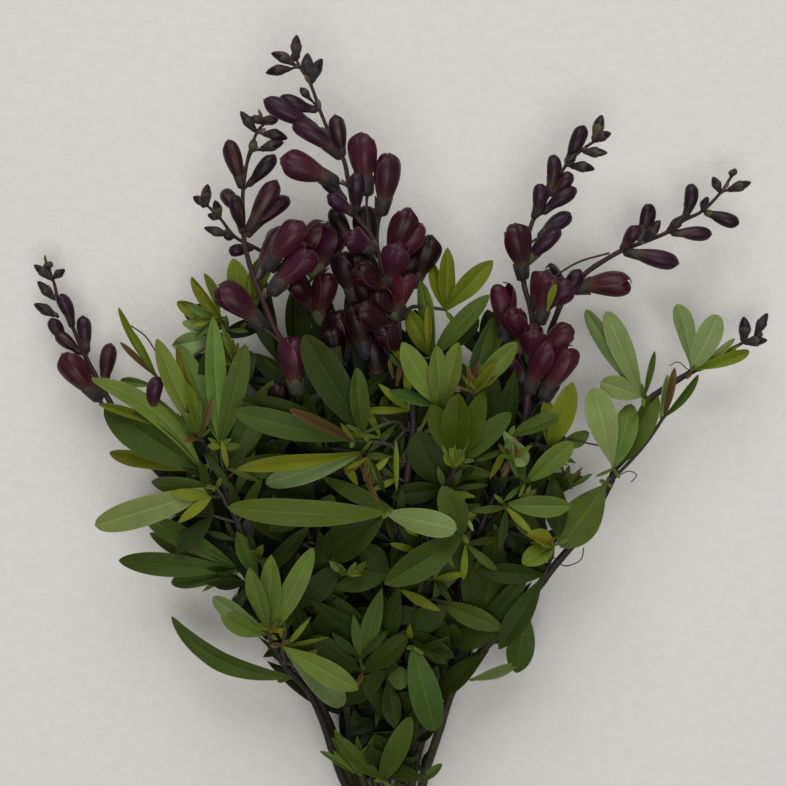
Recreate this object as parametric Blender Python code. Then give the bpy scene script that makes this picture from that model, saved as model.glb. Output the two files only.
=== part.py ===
"""A market bunch of dark-flowered false indigo, cut, tied and laid down on its side.

Ten cut stems run through one tie.  Seven of them end in a flower spike, and leafy shoots leave
them all the way up.  Lengths are in millimetres until a mesh is made.  +Z is up from the surface
that the bunch lies on, and the flower spikes point along +Y.

The plan below gives x and y as they are seen by an eye straight above the bunch, so a point that
stands higher is drawn in towards the middle before it is used.
"""

import math

import bpy
import numpy as np
from mathutils import Vector
from mathutils.bvhtree import BVHTree

MM = 0.001
EYE_HEIGHT = 1100.0
SEEN_LEVEL = 45.0
SHIFT = Vector((-3.8, 91.4, 0.0))  # from the middle of the plan to the middle of the bunch

GAP = 0.35  # between neighbouring pieces
CLEARANCE = 0.4  # added all round a solid while a free place is looked for
LIFT_OFF = 0.02  # of the tie and the lowest cut ends from the surface

# The tie and the stems in it, packed in three rows
STEM_RADIUS = 2.8
SLOT_PITCH = 6.5
ROW_RISE = 5.7
BAND_THICK = 1.4
BAND_WIDTH = 9.0
BAND_SIDES = 24
TIE_Y = -268.0
TIE_RUN = 9.0  # how far the stems run straight on each side of the tie
CUT_Y = -372.0
CUT_STAGGER = 5.0
CUT_SPREAD = 1.7  # across, against the slots
CUT_RISE = 1.15  # upwards, against the slots
LOWEST_SLOT = STEM_RADIUS + GAP + BAND_THICK + LIFT_OFF

STEM_SIDES = 6
STEM_STEP = 19.0
STEM_TAPER = 1.6
AXIS_STEP = 12.0
AXIS_LEAD = 1.5  # straight start of a flower spike's axis
AXIS_SHOULDER = 0.1  # by which the axis is thinner than the stem's top
AXIS_TIP_RADIUS = 0.8
BUD_SIDES = 5
BUD_SHARE = 0.86  # of the way from the axis to the tip, at most
PEDICEL_RADIUS = 0.75
BUD_CLEAR = 0.1  # of a bud's widest ring from the surface
LEAF_THICK = 1.3
LEAF_SINK = 0.6  # of a blade's foot in its twig
LOWEST_BASE = 4.0  # of a shoot's leaflets

TWIG_SIDES = 5
TWIG_RADIUS = 1.25
TWIG_TAPER = 0.35
TWIG_KNEE = 2.4  # how far a twig leaves its stem before it turns up along it
TWIG_STEP = 13.0
TWIG_BOWS = (0.4, 0.1, 0.75, -0.2)  # tried in turn

# Which place on the stems a twig starts from: the nearest, with a charge for places above its end
HOLDS_TRIED = 26
FIRST_STEM_HOLD = 5  # points of a stem from its cut end to above the tie
BELOW = 6.0
ABOVE_CHARGE = 0.7
END_CHARGE = 0.5  # of a stem's own end, which a leafy stem's shoot prefers
END_REACH = 3.0

# Changes of height that are tried in turn
LEAF_LIFTS = (0, 4, -4, 8, -8, 12, -12, 17, -17, 23, -23, 30, -30, 38)
BUD_LIFTS = (0, 3, -3, 6, -6, 9, -9, 13, -13, 18, -18)
BASE_LIFTS = (0, 4, -4, 8, -8, 13, -13, 18, -18, 24, -24)

# Cut stems: the slot in the tie (column, row), the radius at the top, and the points that the
# stem passes through above the tie (x, y, height)
STEMS = {
    "far_left": ((-1, 0), 1.9, [
        (-25, -205, 19), (-40, -172, 25), (-60, -138, 30), (-78, -105, 32), (-92, -80, 32),
        (-106, -66, 30), (-124, -48, 27), (-140, -32, 25), (-150, -15, 24)]),
    "left": ((-0.5, 1), 2.0, [
        (-19, -205, 24), (-27, -160, 32), (-36, -110, 42), (-43, -60, 50), (-49, -20, 55),
        (-55, 8, 58)]),
    "tall": ((0, 2), 2.1, [
        (-4, -205, 30), (-2, -160, 38), (1, -110, 50), (6, -60, 60), (11, -20, 66),
        (10.5, -3, 68)]),
    "back_left": ((0, 0), 1.9, [
        (-12, -205, 14), (-18, -160, 16), (-24, -110, 20), (-28, -60, 25), (-31, -20, 30),
        (-32, 0, 33)]),
    "right": ((0.5, 1), 2.1, [
        (6, -205, 24), (18, -180, 28), (27, -150, 32), (36, -110, 38), (52, -65, 44),
        (68, -30, 48), (73, -12, 50)]),
    "low_right": ((1, 0), 1.9, [
        (12, -205, 12), (24, -165, 14), (36, -120, 17), (50, -75, 20), (66, -35, 24),
        (78, 0, 28), (86, 32, 31)]),
    "far_right": ((1.5, 1), 1.6, [
        (18, -208, 22), (24, -190, 26), (32, -165, 32), (40, -152, 36), (59, -131, 42),
        (75, -113, 45), (88, -96, 46), (104, -77, 46), (120, -48, 43), (124, -35, 41),
        (129, -24, 39), (140, -5, 36), (150, 3, 34), (163, 11, 32), (172, 16, 31)]),
    "front": ((1, 2), 1.6, [
        (3, -205, 32), (6, -160, 42), (12, -120, 54), (22, -80, 66), (32, -45, 76),
        (36, -25, 80), (41, -5, 84)]),
    "low_left": ((-1, 2), 1.5, [
        (-28, -212, 36), (-33, -198, 42), (-39, -180, 48), (-46, -165, 54), (-53, -157, 58),
        (-61, -148, 62), (-66, -137, 65)]),
    "leafy_left": ((-1.5, 1), 1.6, [
        (-27, -205, 26), (-40, -170, 36), (-56, -135, 44), (-72, -105, 50), (-84, -75, 54),
        (-94, -48, 57), (-103, -28, 59), (-110, -10, 60), (-118, 6, 60)]),
}

# Flower spikes: the points of the axis above the stem's end
AXES = {
    "far_left": [
        (-159, 1, 24), (-165, 12, 24), (-171, 24, 24), (-177, 38, 23), (-184, 51, 22),
        (-186, 59, 21), (-189, 68, 21)],
    "left": [
        (-60.5, 27, 59), (-66, 37, 60), (-71.5, 51, 61), (-79, 71, 62), (-82, 85, 62),
        (-82.5, 111, 61), (-79, 132, 60), (-75, 143, 59), (-71, 148, 58)],
    "tall": [
        (6, 10, 69), (3.5, 19, 70), (2.5, 40, 72), (-2, 55, 73), (-8.5, 78, 74), (-13, 88, 74),
        (-20, 97, 73), (-24, 113, 72), (-27, 128, 71), (-34, 141, 69), (-40, 155, 67),
        (-45, 169, 65), (-51, 179, 63), (-53, 183, 62)],
    "back_left": [
        (-35, 14, 35), (-38, 25, 37), (-45, 45, 40), (-55, 62, 42), (-66, 74, 42), (-76, 80, 41),
        (-87, 86, 40), (-95, 96, 38), (-102, 103, 37)],
    "right": [
        (74, -2, 51), (76, 15, 52), (77, 35, 52), (76, 45, 52), (72, 60, 52), (73, 80, 51),
        (77, 95, 50), (85, 108, 49), (95, 125, 47), (103, 133, 46), (110, 138, 45)],
    "low_right": [
        (92, 48, 32), (97, 57, 33), (103, 63, 33), (110, 69, 33), (125, 78, 33), (135, 82, 32),
        (150, 88, 31), (160, 95, 30), (170, 100, 29), (180, 110, 28), (186, 119, 27)],
    "far_right": [(178, 19, 30), (192, 27.5, 28), (199, 31, 27)],
}

# Buds and flowers: where each leaves the axis (x, y), its tip (x, y), how far the tip stands
# above the axis, and its stage, from 0 for a young bud to 4 for an open flower
BUDS = {
    "far_left": [
        (-189, 67, -198, 71, 0, 1), (-188, 64, -183, 70, 2, 1), (-187, 58, -196, 61, 3, 1),
        (-186, 53, -195, 47, 1, 1), (-183, 44, -180, 50, 5, 1), (-176, 33, -183, 33, 4, 2),
        (-168, 20, -172, 42, 2, 2), (-160, -4, -184, 21, 3, 4), (-158, -2, -155, 27, -6, 3)],
    "left": [
        (-76, 142, -84, 155, 1, 1), (-73, 146, -78, 152, 5, 0), (-72, 147, -63, 151, 2, 1),
        (-73, 145, -58, 140, 0, 1), (-78, 130, -60, 138, 2, 1), (-80, 126, -76, 140, 7, 0),
        (-81, 116, -65, 131, 3, 2), (-82.5, 108, -91, 139, 3, 3), (-82, 100, -93, 111, -7, 2),
        (-82, 88, -88, 109, 10, 2), (-81, 86, -64, 117, 4, 3), (-79, 80, -57, 107, -3, 3),
        (-66, 37, -98, 57, 6, 4), (-75, 58, -49, 94, 7, 4), (-71, 49, -42, 77, 2, 4),
        (-73, 60, -60, 91, -8, 3), (-59, 19, -52, 32, 12, 4)],
    "tall": [
        (-53, 182, -53, 197, 0, 1), (-52, 180, -67, 187, 2, 1), (-51, 179, -70, 176, -1, 1),
        (-43, 165, -47, 187, -4, 1), (-42, 163, -39, 184, 3, 1), (-42, 160, -51, 168, 9, 0),
        (-40, 156, -62, 163, 1, 2), (-37, 146, -71, 161, 3, 3), (-29, 132, -55, 148, 6, 3),
        (-26, 126, -32, 153, 5, 2), (-25, 110, -62, 128, 3, 4), (-22, 103, -39, 123, -7, 2),
        (-20, 95, -36, 109, 7, 3), (-19, 94, -20, 122, 9, 2), (-12, 86, -16, 143, 3, 4),
        (-8, 78, -4, 132, 8, 4), (-6, 72, 9, 102, 7, 4), (-3, 62, 17, 92, 2, 4),
        (-2, 56, 4, 84, 12, 4), (1, 46, 10, 66, 8, 4), (-9, 76, -27, 87, 8, 4),
        (-4, 60, -23, 67, 10, 4), (1, 42, -10, 55, 13, 4), (3, 26, -21, 48, 12, 4),
        (4, 16, -8, 36, 14, 4)],
    "back_left": [
        (-101, 102, -110, 108, 1, 1), (-100, 101, -102, 115, 2, 1), (-95, 96, -98, 106, 5, 1),
        (-92, 92, -102, 98, 3, 1), (-88, 87, -104, 91, 2, 1), (-84, 84, -93, 86, 5, 1),
        (-78, 81, -90, 77, 2, 2), (-54, 61, -36, 93, 5, 4), (-48, 50, -27, 91, 4, 4),
        (-45, 44, -56, 63, 9, 4), (-41, 32, -34, 66, 9, 4), (-37, 20, -33, 42, 10, 3)],
    "right": [
        (110, 138, 115, 153, 1, 1), (109, 137, 120, 143, 0, 1), (100, 130, 118, 132, 1, 1),
        (99, 129, 105, 147, 2, 2), (95, 124, 101, 132, 8, 1), (94, 122, 111, 123, 0, 1),
        (85, 108, 98, 121, 4, 2), (83, 105, 88, 131, 2, 2), (76, 92, 81, 115, 6, 2),
        (76, 91, 101, 112, 2, 2), (75, 83, 98, 98, -4, 2), (73, 73, 92, 90, 4, 3),
        (72, 62, 65, 93, 4, 4), (75, 46, 86, 67, 8, 4), (76, 42, 99, 60, 2, 4),
        (76, 40, 56, 59, 5, 4), (77, 30, 64, 47, 9, 4), (76, 12, 77, 38, 14, 4),
        (76, 10, 99, 36, 5, 4), (75, 6, 88, 29, 10, 4)],
    "low_right": [
        (179, 109, 197, 116, 1, 1), (176, 106, 176, 119, 2, 1), (186, 118, 188, 123, 0, 0),
        (169, 100, 190, 93, 0, 2), (166, 98, 173, 108, 6, 1), (161, 95, 164, 115, 2, 2),
        (151, 88, 175, 87, -1, 2), (147, 87, 161, 98, 6, 1), (137, 83, 141, 104, 3, 2),
        (140, 84, 147, 95, 5, 1), (127, 79, 135, 92, 6, 3), (129, 80, 157, 71, 2, 3),
        (99, 59, 131, 58, 3, 4), (94, 52, 103, 68, 6, 3)],
    "far_right": [(192, 27, 193, 42, 2, 1), (198, 31, 206, 44, 1, 1), (194, 28, 206, 29, 0, 1)],
}

# Length and greatest radius of a bud or flower at each stage
BUD_SIZES = ((6.5, 1.9), (12.0, 2.8), (18.0, 3.9), (27.0, 5.0), (29.0, 6.2))
BUD_PROFILE = ((0.0, 0.28), (0.3, 0.68), (0.62, 1.0), (0.87, 0.78))

# Leafy shoots: where the leaflets spring from (x, y, height), and each leaflet's tip (x, y), how
# far the tip stands above its base, and its width
SHOOTS = {
    "low_left_rosette": ((-68, -132, 70), [
        (-99, -112, 8, 10), (-79, -96, 22, 8), (-67, -89, 14, 11), (-44, -85, 10, 12)]),
    "low_left_drooping": ((-61, -139, 72), [(-19, -163, 8, 13), (-27, -172, -16, 14)]),
    "low_left_curved": ((-56, -156, 50), [(-122, -123, -22, 12)]),
    "low_middle": ((-17, -153, 58), [(-45, -134, 6, 12), (8, -134, 10, 9)]),
    "low_hanging": ((11, -140, 64), [(23, -186, -6, 17)]),
    "lowest": ((-6, -212, 46), [(10, -178, 16, 12), (-32, -188, 10, 6)]),
    "low_shaded": ((3, -138, 26), [(0, -176, -4, 15), (-22, -166, -8, 13)]),
    "middle_long": ((-4, -66, 76), [(-91, -63, 6, 15), (35, -75, 12, 14), (-38, -90, -14, 20)]),
    "middle_left": ((-22, -26, 78), [(-83, -4, 2, 16), (-88, -10, 8, 14), (-57, -9, 16, 5)]),
    "middle_yellow": ((-18, -33, 72), [(-86, -42, 8, 7), (-70, -50, -4, 13)]),
    "broad_upright": ((-16, -22, 80), [(-49, 32, 8, 19), (-20, 14, 16, 9)]),
    "ribbed": ((38, -78, 72), [(-5, -105, 10, 17), (27, -51, 16, 15)]),
    "dark_round": ((28, -52, 62), [(12, -22, 8, 20), (-1, -57, 2, 11)]),
    "front_rosette": ((35, -37, 86), [
        (21, -6, 6, 13), (36, 0, 18, 15), (50, 1, 8, 12), (65, -11, 4, 11)]),
    "front_pale": ((26, -8, 80), [
        (5, 28, 8, 13), (24, 26, 14, 9), (36, 28, 10, 11), (-2, 1, -2, 6)]),
    "front_bronze": ((44, 0, 86), [(68, 28, 6, 11), (57, 17, 14, 5), (53, 37, -2, 10)]),
    "behind_tall": ((29, 46, 60), [(30, 80, 4, 10), (55, 73, 6, 11), (21, 73, 0, 6)]),
    "behind_front": ((22, 20, 64), [
        (53, 54, 2, 10), (47, 42, -10, 12), (8, 46, 2, 10), (15, 62, 0, 9)]),
    "right_upright": ((86, -30, 58), [(99, 6, 6, 13), (84, -3, -4, 10), (108, -22, -6, 8)]),
    "right_small": ((64, -24, 64), [(91, -13, 4, 8), (73, -40, 4, 8)]),
    "right_bright": ((73, -49, 60), [(99, -27, 8, 12), (62, -28, -6, 10)]),
    "right_level": ((62, -61, 62), [(98, -62, 8, 11), (80, -78, -6, 10)]),
    "right_dark": ((117, -50, 50), [(92, -85, 6, 22)]),
    "right_yellow": ((88, -84, 54), [(71, -94, 8, 9), (73, -78, 4, 8)]),
    "hanging_dark": ((57, -76, 52), [(50, -121, -2, 23), (38, -100, -10, 16)]),
    "crossing_dark": ((54, -119, 48), [(-3, -131, -8, 13)]),
    "hanging_right": ((73, -118, 36), [(68, -154, -8, 16)]),
    "far_right_top": ((164, 13, 37), [(156, 49, 6, 11), (179, 43, 4, 14), (196, 23, -8, 6)]),
    "far_right_middle": ((137, -2, 42), [(106, 46, 0, 9), (117, 45, 8, 13), (114, 6, 4, 13)]),
    "far_right_pair": ((121, -41, 47), [(110, 3, 4, 17), (131, -6, -8, 14)]),
    "left_pale": ((-97, -52, 64), [(-164, -73, 2, 16), (-133, -49, -6, 9)]),
    "left_low": ((-84, -97, 50), [
        (-151, -92, -2, 13), (-136, -69, -6, 12), (-122, -104, -12, 10), (-134, -77, -14, 8)]),
    "left_dark": ((-105, -43, 62), [
        (-159, -8, -2, 21), (-166, 8, 6, 10), (-156, -33, -20, 8)]),
    "left_upright": ((-106, -24, 68), [(-130, 30, 6, 11), (-119, 26, -4, 9), (-114, 6, 12, 5)]),
    "left_tall": ((-95, -28, 68), [(-99, 42, 8, 10), (-81, 27, 6, 12), (-118, 27, -14, 9)]),
    "left_star": ((-91, 35, 50), [
        (-111, 64, 2, 6), (-119, 50, -2, 7), (-115, 44, -8, 7)]),
    "left_behind": ((-80, 40, 46), [(-88, 74, 2, 12), (-72, 75, -2, 10)]),
    "under_far_left": ((-96, -62, 15), [(-128, -84, -15, 18), (-126, -40, -15, 16)]),
    "under_left": ((-52, -8, 15), [(-86, 22, -15, 17), (-40, 38, -15, 16)]),
    "under_middle": ((-10, -108, 11), [(-52, -128, -11, 18), (24, -74, -11, 18)]),
    "under_right": ((56, -44, 11), [(94, -60, -11, 18), (44, -2, -11, 17)]),
    "under_far_right": ((84, -8, 16), [(93, -40, -16, 14), (70, 24, -16, 14)]),
}

# Leaflet outline: station along the length and share of the full width
LEAF_PROFILE = ((0.0, 0.1), (0.32, 0.72), (0.62, 1.0), (0.86, 0.66))
LEAF_FOLD = 0.10
LEAF_ARCH = 0.10


def sight(x, y, z):
    """Where a point stands that is seen at x, y from above and lies z over the surface."""
    drawn_in = (EYE_HEIGHT - z) / (EYE_HEIGHT - SEEN_LEVEL)
    return Vector((x * drawn_in, y * drawn_in, z)) + SHIFT


def smooth(knots, step):
    """Points about one step apart on a smooth curve through the knots (Catmull-Rom)."""
    knots = [Vector(k) for k in knots]
    ends = [2 * knots[0] - knots[1]] + knots + [2 * knots[-1] - knots[-2]]
    points = [knots[0]]
    for a, b, c, d in zip(ends, ends[1:], ends[2:], ends[3:]):
        count = max(1, round((c - b).length / step))
        for i in range(1, count + 1):
            t = i / count
            points.append(0.5 * (2 * b + (c - a) * t + (2 * a - 5 * b + 4 * c - d) * t * t
                                 + (3 * b - a - 3 * c + d) * t ** 3))
    return points


def frames(points):
    """A tangent, a side and an up direction at each point, turning as little as they can."""
    result = []
    side = None
    for i in range(len(points)):
        tangent = (points[min(i + 1, len(points) - 1)] - points[max(i - 1, 0)]).normalized()
        if side is None:
            guide = Vector((0, 0, 1)) if abs(tangent.z) < 0.9 else Vector((1, 0, 0))
            side = tangent.cross(guide)
        side = (side - tangent * side.dot(tangent)).normalized()
        result.append((tangent, side, side.cross(tangent)))
    return result


def rings_to_shell(rings, start=None, end=None):
    """A closed shell through rings of equal count; an end closes on a point or a flat face."""
    verts = [v for ring in rings for v in ring]
    sides = len(rings[0])
    faces = []
    for r in range(len(rings) - 1):
        for s in range(sides):
            a, b = r * sides + s, r * sides + (s + 1) % sides
            faces.append((a, b, b + sides, a + sides))
    last = (len(rings) - 1) * sides
    for point, ring, flip in ((start, 0, True), (end, last, False)):
        order = list(range(ring, ring + sides))
        if flip:
            order.reverse()
        if point is None:
            faces.append(tuple(order))
            continue
        verts.append(point)
        for i in range(sides):
            faces.append((order[i], order[(i + 1) % sides], len(verts) - 1))
    return verts, faces


def tube(points, radii, sides):
    """A closed round tube along points, with a radius at each."""
    rings = []
    for point, radius, (_, side, up) in zip(points, radii, frames(points)):
        angles = [2 * math.pi * s / sides for s in range(sides)]
        rings.append([point + radius * (math.cos(a) * side - math.sin(a) * up) for a in angles])
    return rings_to_shell(rings)


def bud(root, tip, stage, extra=0.0):
    """A stalk and the bud or flower at its end, turned about the line from root to tip."""
    length, radius = BUD_SIZES[stage]
    whole = (tip - root).length
    length = min(length, BUD_SHARE * whole)
    along = (tip - root).normalized()
    stations = [(0.0, PEDICEL_RADIUS)]
    stations += [(whole - length + t * length, radius * share) for t, share in BUD_PROFILE]
    points = [root + along * s for s, _ in stations]
    _, side, up = frames([root, tip])[0]
    rings = []
    for point, (_, r) in zip(points, stations):
        angles = [2 * math.pi * s / BUD_SIDES for s in range(BUD_SIDES)]
        rings.append([point + (r + extra) * (math.cos(a) * side - math.sin(a) * up)
                      for a in angles])
    return rings_to_shell(rings, end=tip + along * extra)


def blade_frame(root, tip):
    """The side and the upper direction of a leaf blade that runs from root to tip."""
    along = (tip - root).normalized()
    upward = Vector((0, 0, 1)) if abs(along.z) < 0.95 else Vector((0, -1, 0))
    side = along.cross(upward).normalized()
    return side, side.cross(along)


def leaflet(root, tip, width, extra=0.0):
    """A leaf blade from root to tip: folded along its midrib, arched, and never below ground."""
    side, up = blade_frame(root, tip)
    crown = (root + tip) / 2 + 2 * LEAF_ARCH * (tip - root).length * up
    half_thick = LEAF_THICK / 2 + extra
    rings = []
    for t, share in LEAF_PROFILE:
        point = (1 - t) ** 2 * root + 2 * t * (1 - t) * crown + t * t * tip
        point.z = max(point.z, half_thick)
        half_wide = share * width / 2 + extra
        rise = LEAF_FOLD * share * width * up
        ring = [point + half_wide * side + rise, point - half_thick * up,
                point - half_wide * side + rise, point + half_thick * up]
        for v in ring:
            v.z = max(v.z, 0.0)
        rings.append(ring)
    return rings_to_shell(rings, end=tip)


class Thicket:
    """The solids placed so far, which a new solid of another piece has to stay clear of."""

    def __init__(self):
        self.placed = []

    def add(self, owner, shell):
        """Keeps a shell's box and its faces under the name of its piece."""
        corners = np.array(shell[0])
        tree = BVHTree.FromPolygons(*shell)
        self.placed.append((owner, corners.min(axis=0), corners.max(axis=0), tree))

    def touches(self, owner, shell):
        """Whether the shell meets a solid of any other piece."""
        corners = np.array(shell[0])
        low, high = corners.min(axis=0), corners.max(axis=0)
        tree = None
        for other, other_low, other_high, other_tree in self.placed:
            if other == owner or (low > other_high).any() or (high < other_low).any():
                continue
            tree = tree or BVHTree.FromPolygons(*shell)
            if tree.overlap(other_tree):
                return True
        return False


def principled(name, colour, roughness):
    """A plain material."""
    material = bpy.data.materials.new(name)
    material.use_nodes = True
    shader = material.node_tree.nodes["Principled BSDF"]
    shader.inputs["Base Color"].default_value = (*colour, 1.0)
    shader.inputs["Roughness"].default_value = roughness
    return material


def mesh_object(name, shells):
    """An object whose mesh holds the shells, in metres."""
    verts, faces = [], []
    for shell_verts, shell_faces in shells:
        start = len(verts)
        verts += [v * MM for v in shell_verts]
        faces += [tuple(i + start for i in f) for f in shell_faces]
    mesh = bpy.data.meshes.new(name)
    mesh.from_pydata(verts, [], faces)
    obj = bpy.data.objects.new(name, mesh)
    bpy.context.scene.collection.objects.link(obj)
    return obj


def grown_as_one(name, shells, material, solver="EXACT"):
    """One object whose overlapping shells are joined in a single closed body."""
    obj = mesh_object(name, shells[:1])
    others = [mesh_object(name + "_joined", [shell]) for shell in shells[1:]]
    for other in others:
        join = obj.modifiers.new("join", "BOOLEAN")
        join.operation = "UNION"
        join.solver = solver
        join.object = other
    if others:
        bpy.context.view_layer.update()
        whole = obj.evaluated_get(bpy.context.evaluated_depsgraph_get())
        plain = obj.data
        obj.data = bpy.data.meshes.new_from_object(whole)
        obj.modifiers.clear()
        bpy.data.meshes.remove(plain)
    for other in others:
        bpy.data.meshes.remove(other.data)
    obj.data.name = name
    obj.data.materials.clear()
    obj.data.materials.append(material)
    return obj


def slot_place(column, row):
    """Where a slot of the tie lies across the bunch: x and height."""
    return column * SLOT_PITCH, LOWEST_SLOT + row * ROW_RISE


def stem_knots(name):
    """The points of a stem from its cut end to its top."""
    (column, row), _, above = STEMS[name]
    x, z = slot_place(column, row)
    in_tie = [Vector((x, TIE_Y + run, z)) + SHIFT for run in (-TIE_RUN, 0, TIE_RUN)]
    cut_y = CUT_Y + CUT_STAGGER * math.sin(4 * column + row)  # an uneven row of ends
    cut_z = STEM_RADIUS + LIFT_OFF + row * ROW_RISE * CUT_RISE
    cut = Vector((CUT_SPREAD * x, cut_y, cut_z)) + SHIFT
    return [cut] + in_tie + [sight(*p) for p in above]


def stem_line(name):
    """Centre points and radii of a stem, and its flower spike's axis where it has one."""
    knots = stem_knots(name)
    axis = [sight(*p) for p in AXES.get(name, [])]
    line = smooth(knots + axis, STEM_STEP)
    joint = min(range(len(line)), key=lambda i: (line[i] - knots[-1]).length)
    stem = line[:joint + 1]
    top = STEMS[name][1]
    radii = [STEM_RADIUS + (top - STEM_RADIUS) * (i / joint) ** STEM_TAPER
             for i in range(joint + 1)]
    return stem, radii


def axis_line(name):
    """Centre points and radii of a flower spike's axis, starting one gap above its stem."""
    top = sight(*STEMS[name][2][-1])
    knots = [sight(*p) for p in AXES[name]]
    below = stem_line(name)[0]
    away = (below[-1] - below[-2]).normalized()
    line = smooth([top + GAP * away] + knots, AXIS_STEP)
    line.insert(1, line[0] + AXIS_LEAD * away)
    radius = STEMS[name][1] - AXIS_SHOULDER
    last = len(line) - 1
    return line, [radius + (AXIS_TIP_RADIUS - radius) * (i / last) for i in range(last + 1)]


def build_stems(thicket, material):
    """The cut stems, each one tapering solid."""
    lines = {}
    for name in STEMS:
        points, radii = stem_line(name)
        lines[name] = list(zip(points, radii))
        shell = tube(points, radii, STEM_SIDES)
        thicket.add("stem_" + name, shell)
        grown_as_one("stem_" + name, [shell], material)
    return lines


def build_spikes(thicket, lines, material):
    """The flower spikes: an axis with its buds and flowers, each spike one solid."""
    solids = {}
    for name in AXES:
        points, radii = axis_line(name)
        lines["spike_" + name] = list(zip(points, radii))[:len(points) // 2]
        solids[name] = [tube(points, radii, STEM_SIDES)]
        thicket.add("spike_" + name, solids[name][0])
    for name in AXES:
        points, _ = axis_line(name)
        for x, y, tip_x, tip_y, lift, stage in BUDS[name]:
            root = min(points, key=lambda p: (p - sight(x, y, p.z)).length)
            place_bud(thicket, "spike_" + name, solids[name], root, (tip_x, tip_y, lift), stage)
        grown_as_one("spike_" + name, solids[name], material)


def place_bud(thicket, owner, shells, root, tip, stage):
    """Adds a bud at the first height of its tip that is clear of the other pieces."""
    for change in BUD_LIFTS:
        height = max(root.z + tip[2] + change, BUD_SIZES[stage][1] + BUD_CLEAR)
        end = sight(tip[0], tip[1], height)
        if not thicket.touches(owner, bud(root, end, stage, CLEARANCE)):
            shells.append(bud(root, end, stage))
            thicket.add(owner, shells[-1])
            return


def holds(lines, base):
    """Places on the stems that a shoot could leave from, the best first."""
    found = []
    for name, line in lines.items():
        first = 1 if name.startswith("spike") else FIRST_STEM_HOLD
        for i in range(first, len(line) - 1):
            point, radius = line[i]
            along = (line[i + 1][0] - point).normalized()
            above = max(0.0, point.y - base.y + BELOW)
            cost = (base - point).length + ABOVE_CHARGE * above
            found.append((cost, point, radius, along))
        tip, radius = line[-1]
        along = (tip - line[-2][0]).normalized()
        if (base - tip).dot(along) > END_REACH and name in STEMS and name not in AXES:
            found.append(((base - tip).length * END_CHARGE, tip, 0.0, along))
    found.sort(key=lambda hold: hold[0])
    return found[:HOLDS_TRIED]


def twig(base, hold, bow, extra=0.0):
    """A twig from the side or the end of a stem to a shoot's base."""
    _, point, radius, along = hold
    out = base - point
    if radius:
        out -= along * out.dot(along)
        out = out.normalized()
    else:
        out = along
    start = point + (radius + GAP) * out
    knee = start + TWIG_KNEE * out
    bend = knee + bow * (base - knee).length * along
    count = max(2, round((base - knee).length / TWIG_STEP))
    line = [start]
    for i in range(count + 1):
        t = i / count
        line.append((1 - t) ** 2 * knee + 2 * t * (1 - t) * bend + t * t * base)
    line.append(base + (base - line[-2]).normalized() * TWIG_RADIUS)
    radii = [TWIG_RADIUS - TWIG_TAPER * i / len(line) + extra for i in range(len(line))]
    return tube(line, radii, TWIG_SIDES)


def build_shoots(thicket, lines, material):
    """The leafy shoots: a twig and its leaflets, each shoot one solid."""
    for name, (base, leaves) in SHOOTS.items():
        owner = "leaves_" + name
        root, shells = place_twig(thicket, owner, lines, base)
        for x, y, lift, width in leaves:
            place_leaflet(thicket, owner, shells, root, (x, y, lift), width)
        grown_as_one(owner, shells, material, "MANIFOLD")  # EXACT loses some thin blades


def place_twig(thicket, owner, lines, base):
    """The base and the solid of the first twig that is clear of the other pieces."""
    for change in BASE_LIFTS:
        root = sight(base[0], base[1], max(base[2] + change, LOWEST_BASE))
        for hold in holds(lines, root):
            for bow in TWIG_BOWS:
                if not thicket.touches(owner, twig(root, hold, bow, CLEARANCE)):
                    shell = twig(root, hold, bow)
                    thicket.add(owner, shell)
                    return root, [shell]
    raise ValueError("no room for the twig of " + owner)


def place_leaflet(thicket, owner, shells, root, tip, width):
    """Adds a leaflet at the first height of its tip that is clear of the other pieces."""
    for change in LEAF_LIFTS:
        height = max(root.z + tip[2] + change, 0.0)
        end = sight(tip[0], tip[1], height)
        start = root - (end - root).normalized() * LEAF_SINK
        if not thicket.touches(owner, leaflet(start, end, width, CLEARANCE)):
            shells.append(leaflet(start, end, width))
            thicket.add(owner, shells[-1])
            return


def build_tie(thicket, material):
    """The band round the stems: its inside follows the outermost stems at one gap."""
    slots = [slot_place(*stem[0]) for stem in STEMS.values()]
    inner, outer = [], []
    for i in range(BAND_SIDES):
        angle = 2 * math.pi * i / BAND_SIDES
        away = (math.cos(angle), math.sin(angle))
        x, z = max(slots, key=lambda s: s[0] * away[0] + s[1] * away[1])
        reach = STEM_RADIUS + GAP
        inner.append((x + reach * away[0], z + reach * away[1]))
        reach += BAND_THICK
        outer.append((x + reach * away[0], z + reach * away[1]))
    rings = []
    for outline, y in ((outer, -1), (outer, 1), (inner, 1), (inner, -1)):
        rings.append([Vector((x, TIE_Y + y * BAND_WIDTH / 2, z)) + SHIFT for x, z in outline])
    verts = [v for ring in rings for v in ring]
    faces = []
    for r in range(len(rings)):
        for s in range(BAND_SIDES):
            a, b = r * BAND_SIDES + s, r * BAND_SIDES + (s + 1) % BAND_SIDES
            onward = ((r + 1) % len(rings) - r) * BAND_SIDES
            faces.append((a, a + onward, b + onward, b))
    shell = (verts, faces)
    thicket.add("tie", shell)
    grown_as_one("tie", [shell], material)


def build():
    """The whole bunch."""
    for obj in list(bpy.data.objects):
        bpy.data.objects.remove(obj)
    thicket = Thicket()
    build_tie(thicket, principled("rubber_band", (0.55, 0.36, 0.18), 0.6))
    lines = build_stems(thicket, principled("stem", (0.12, 0.10, 0.05), 0.55))
    build_spikes(thicket, lines, principled("flower", (0.09, 0.02, 0.04), 0.5))
    build_shoots(thicket, lines, principled("leaf", (0.12, 0.20, 0.05), 0.5))


build()
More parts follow.
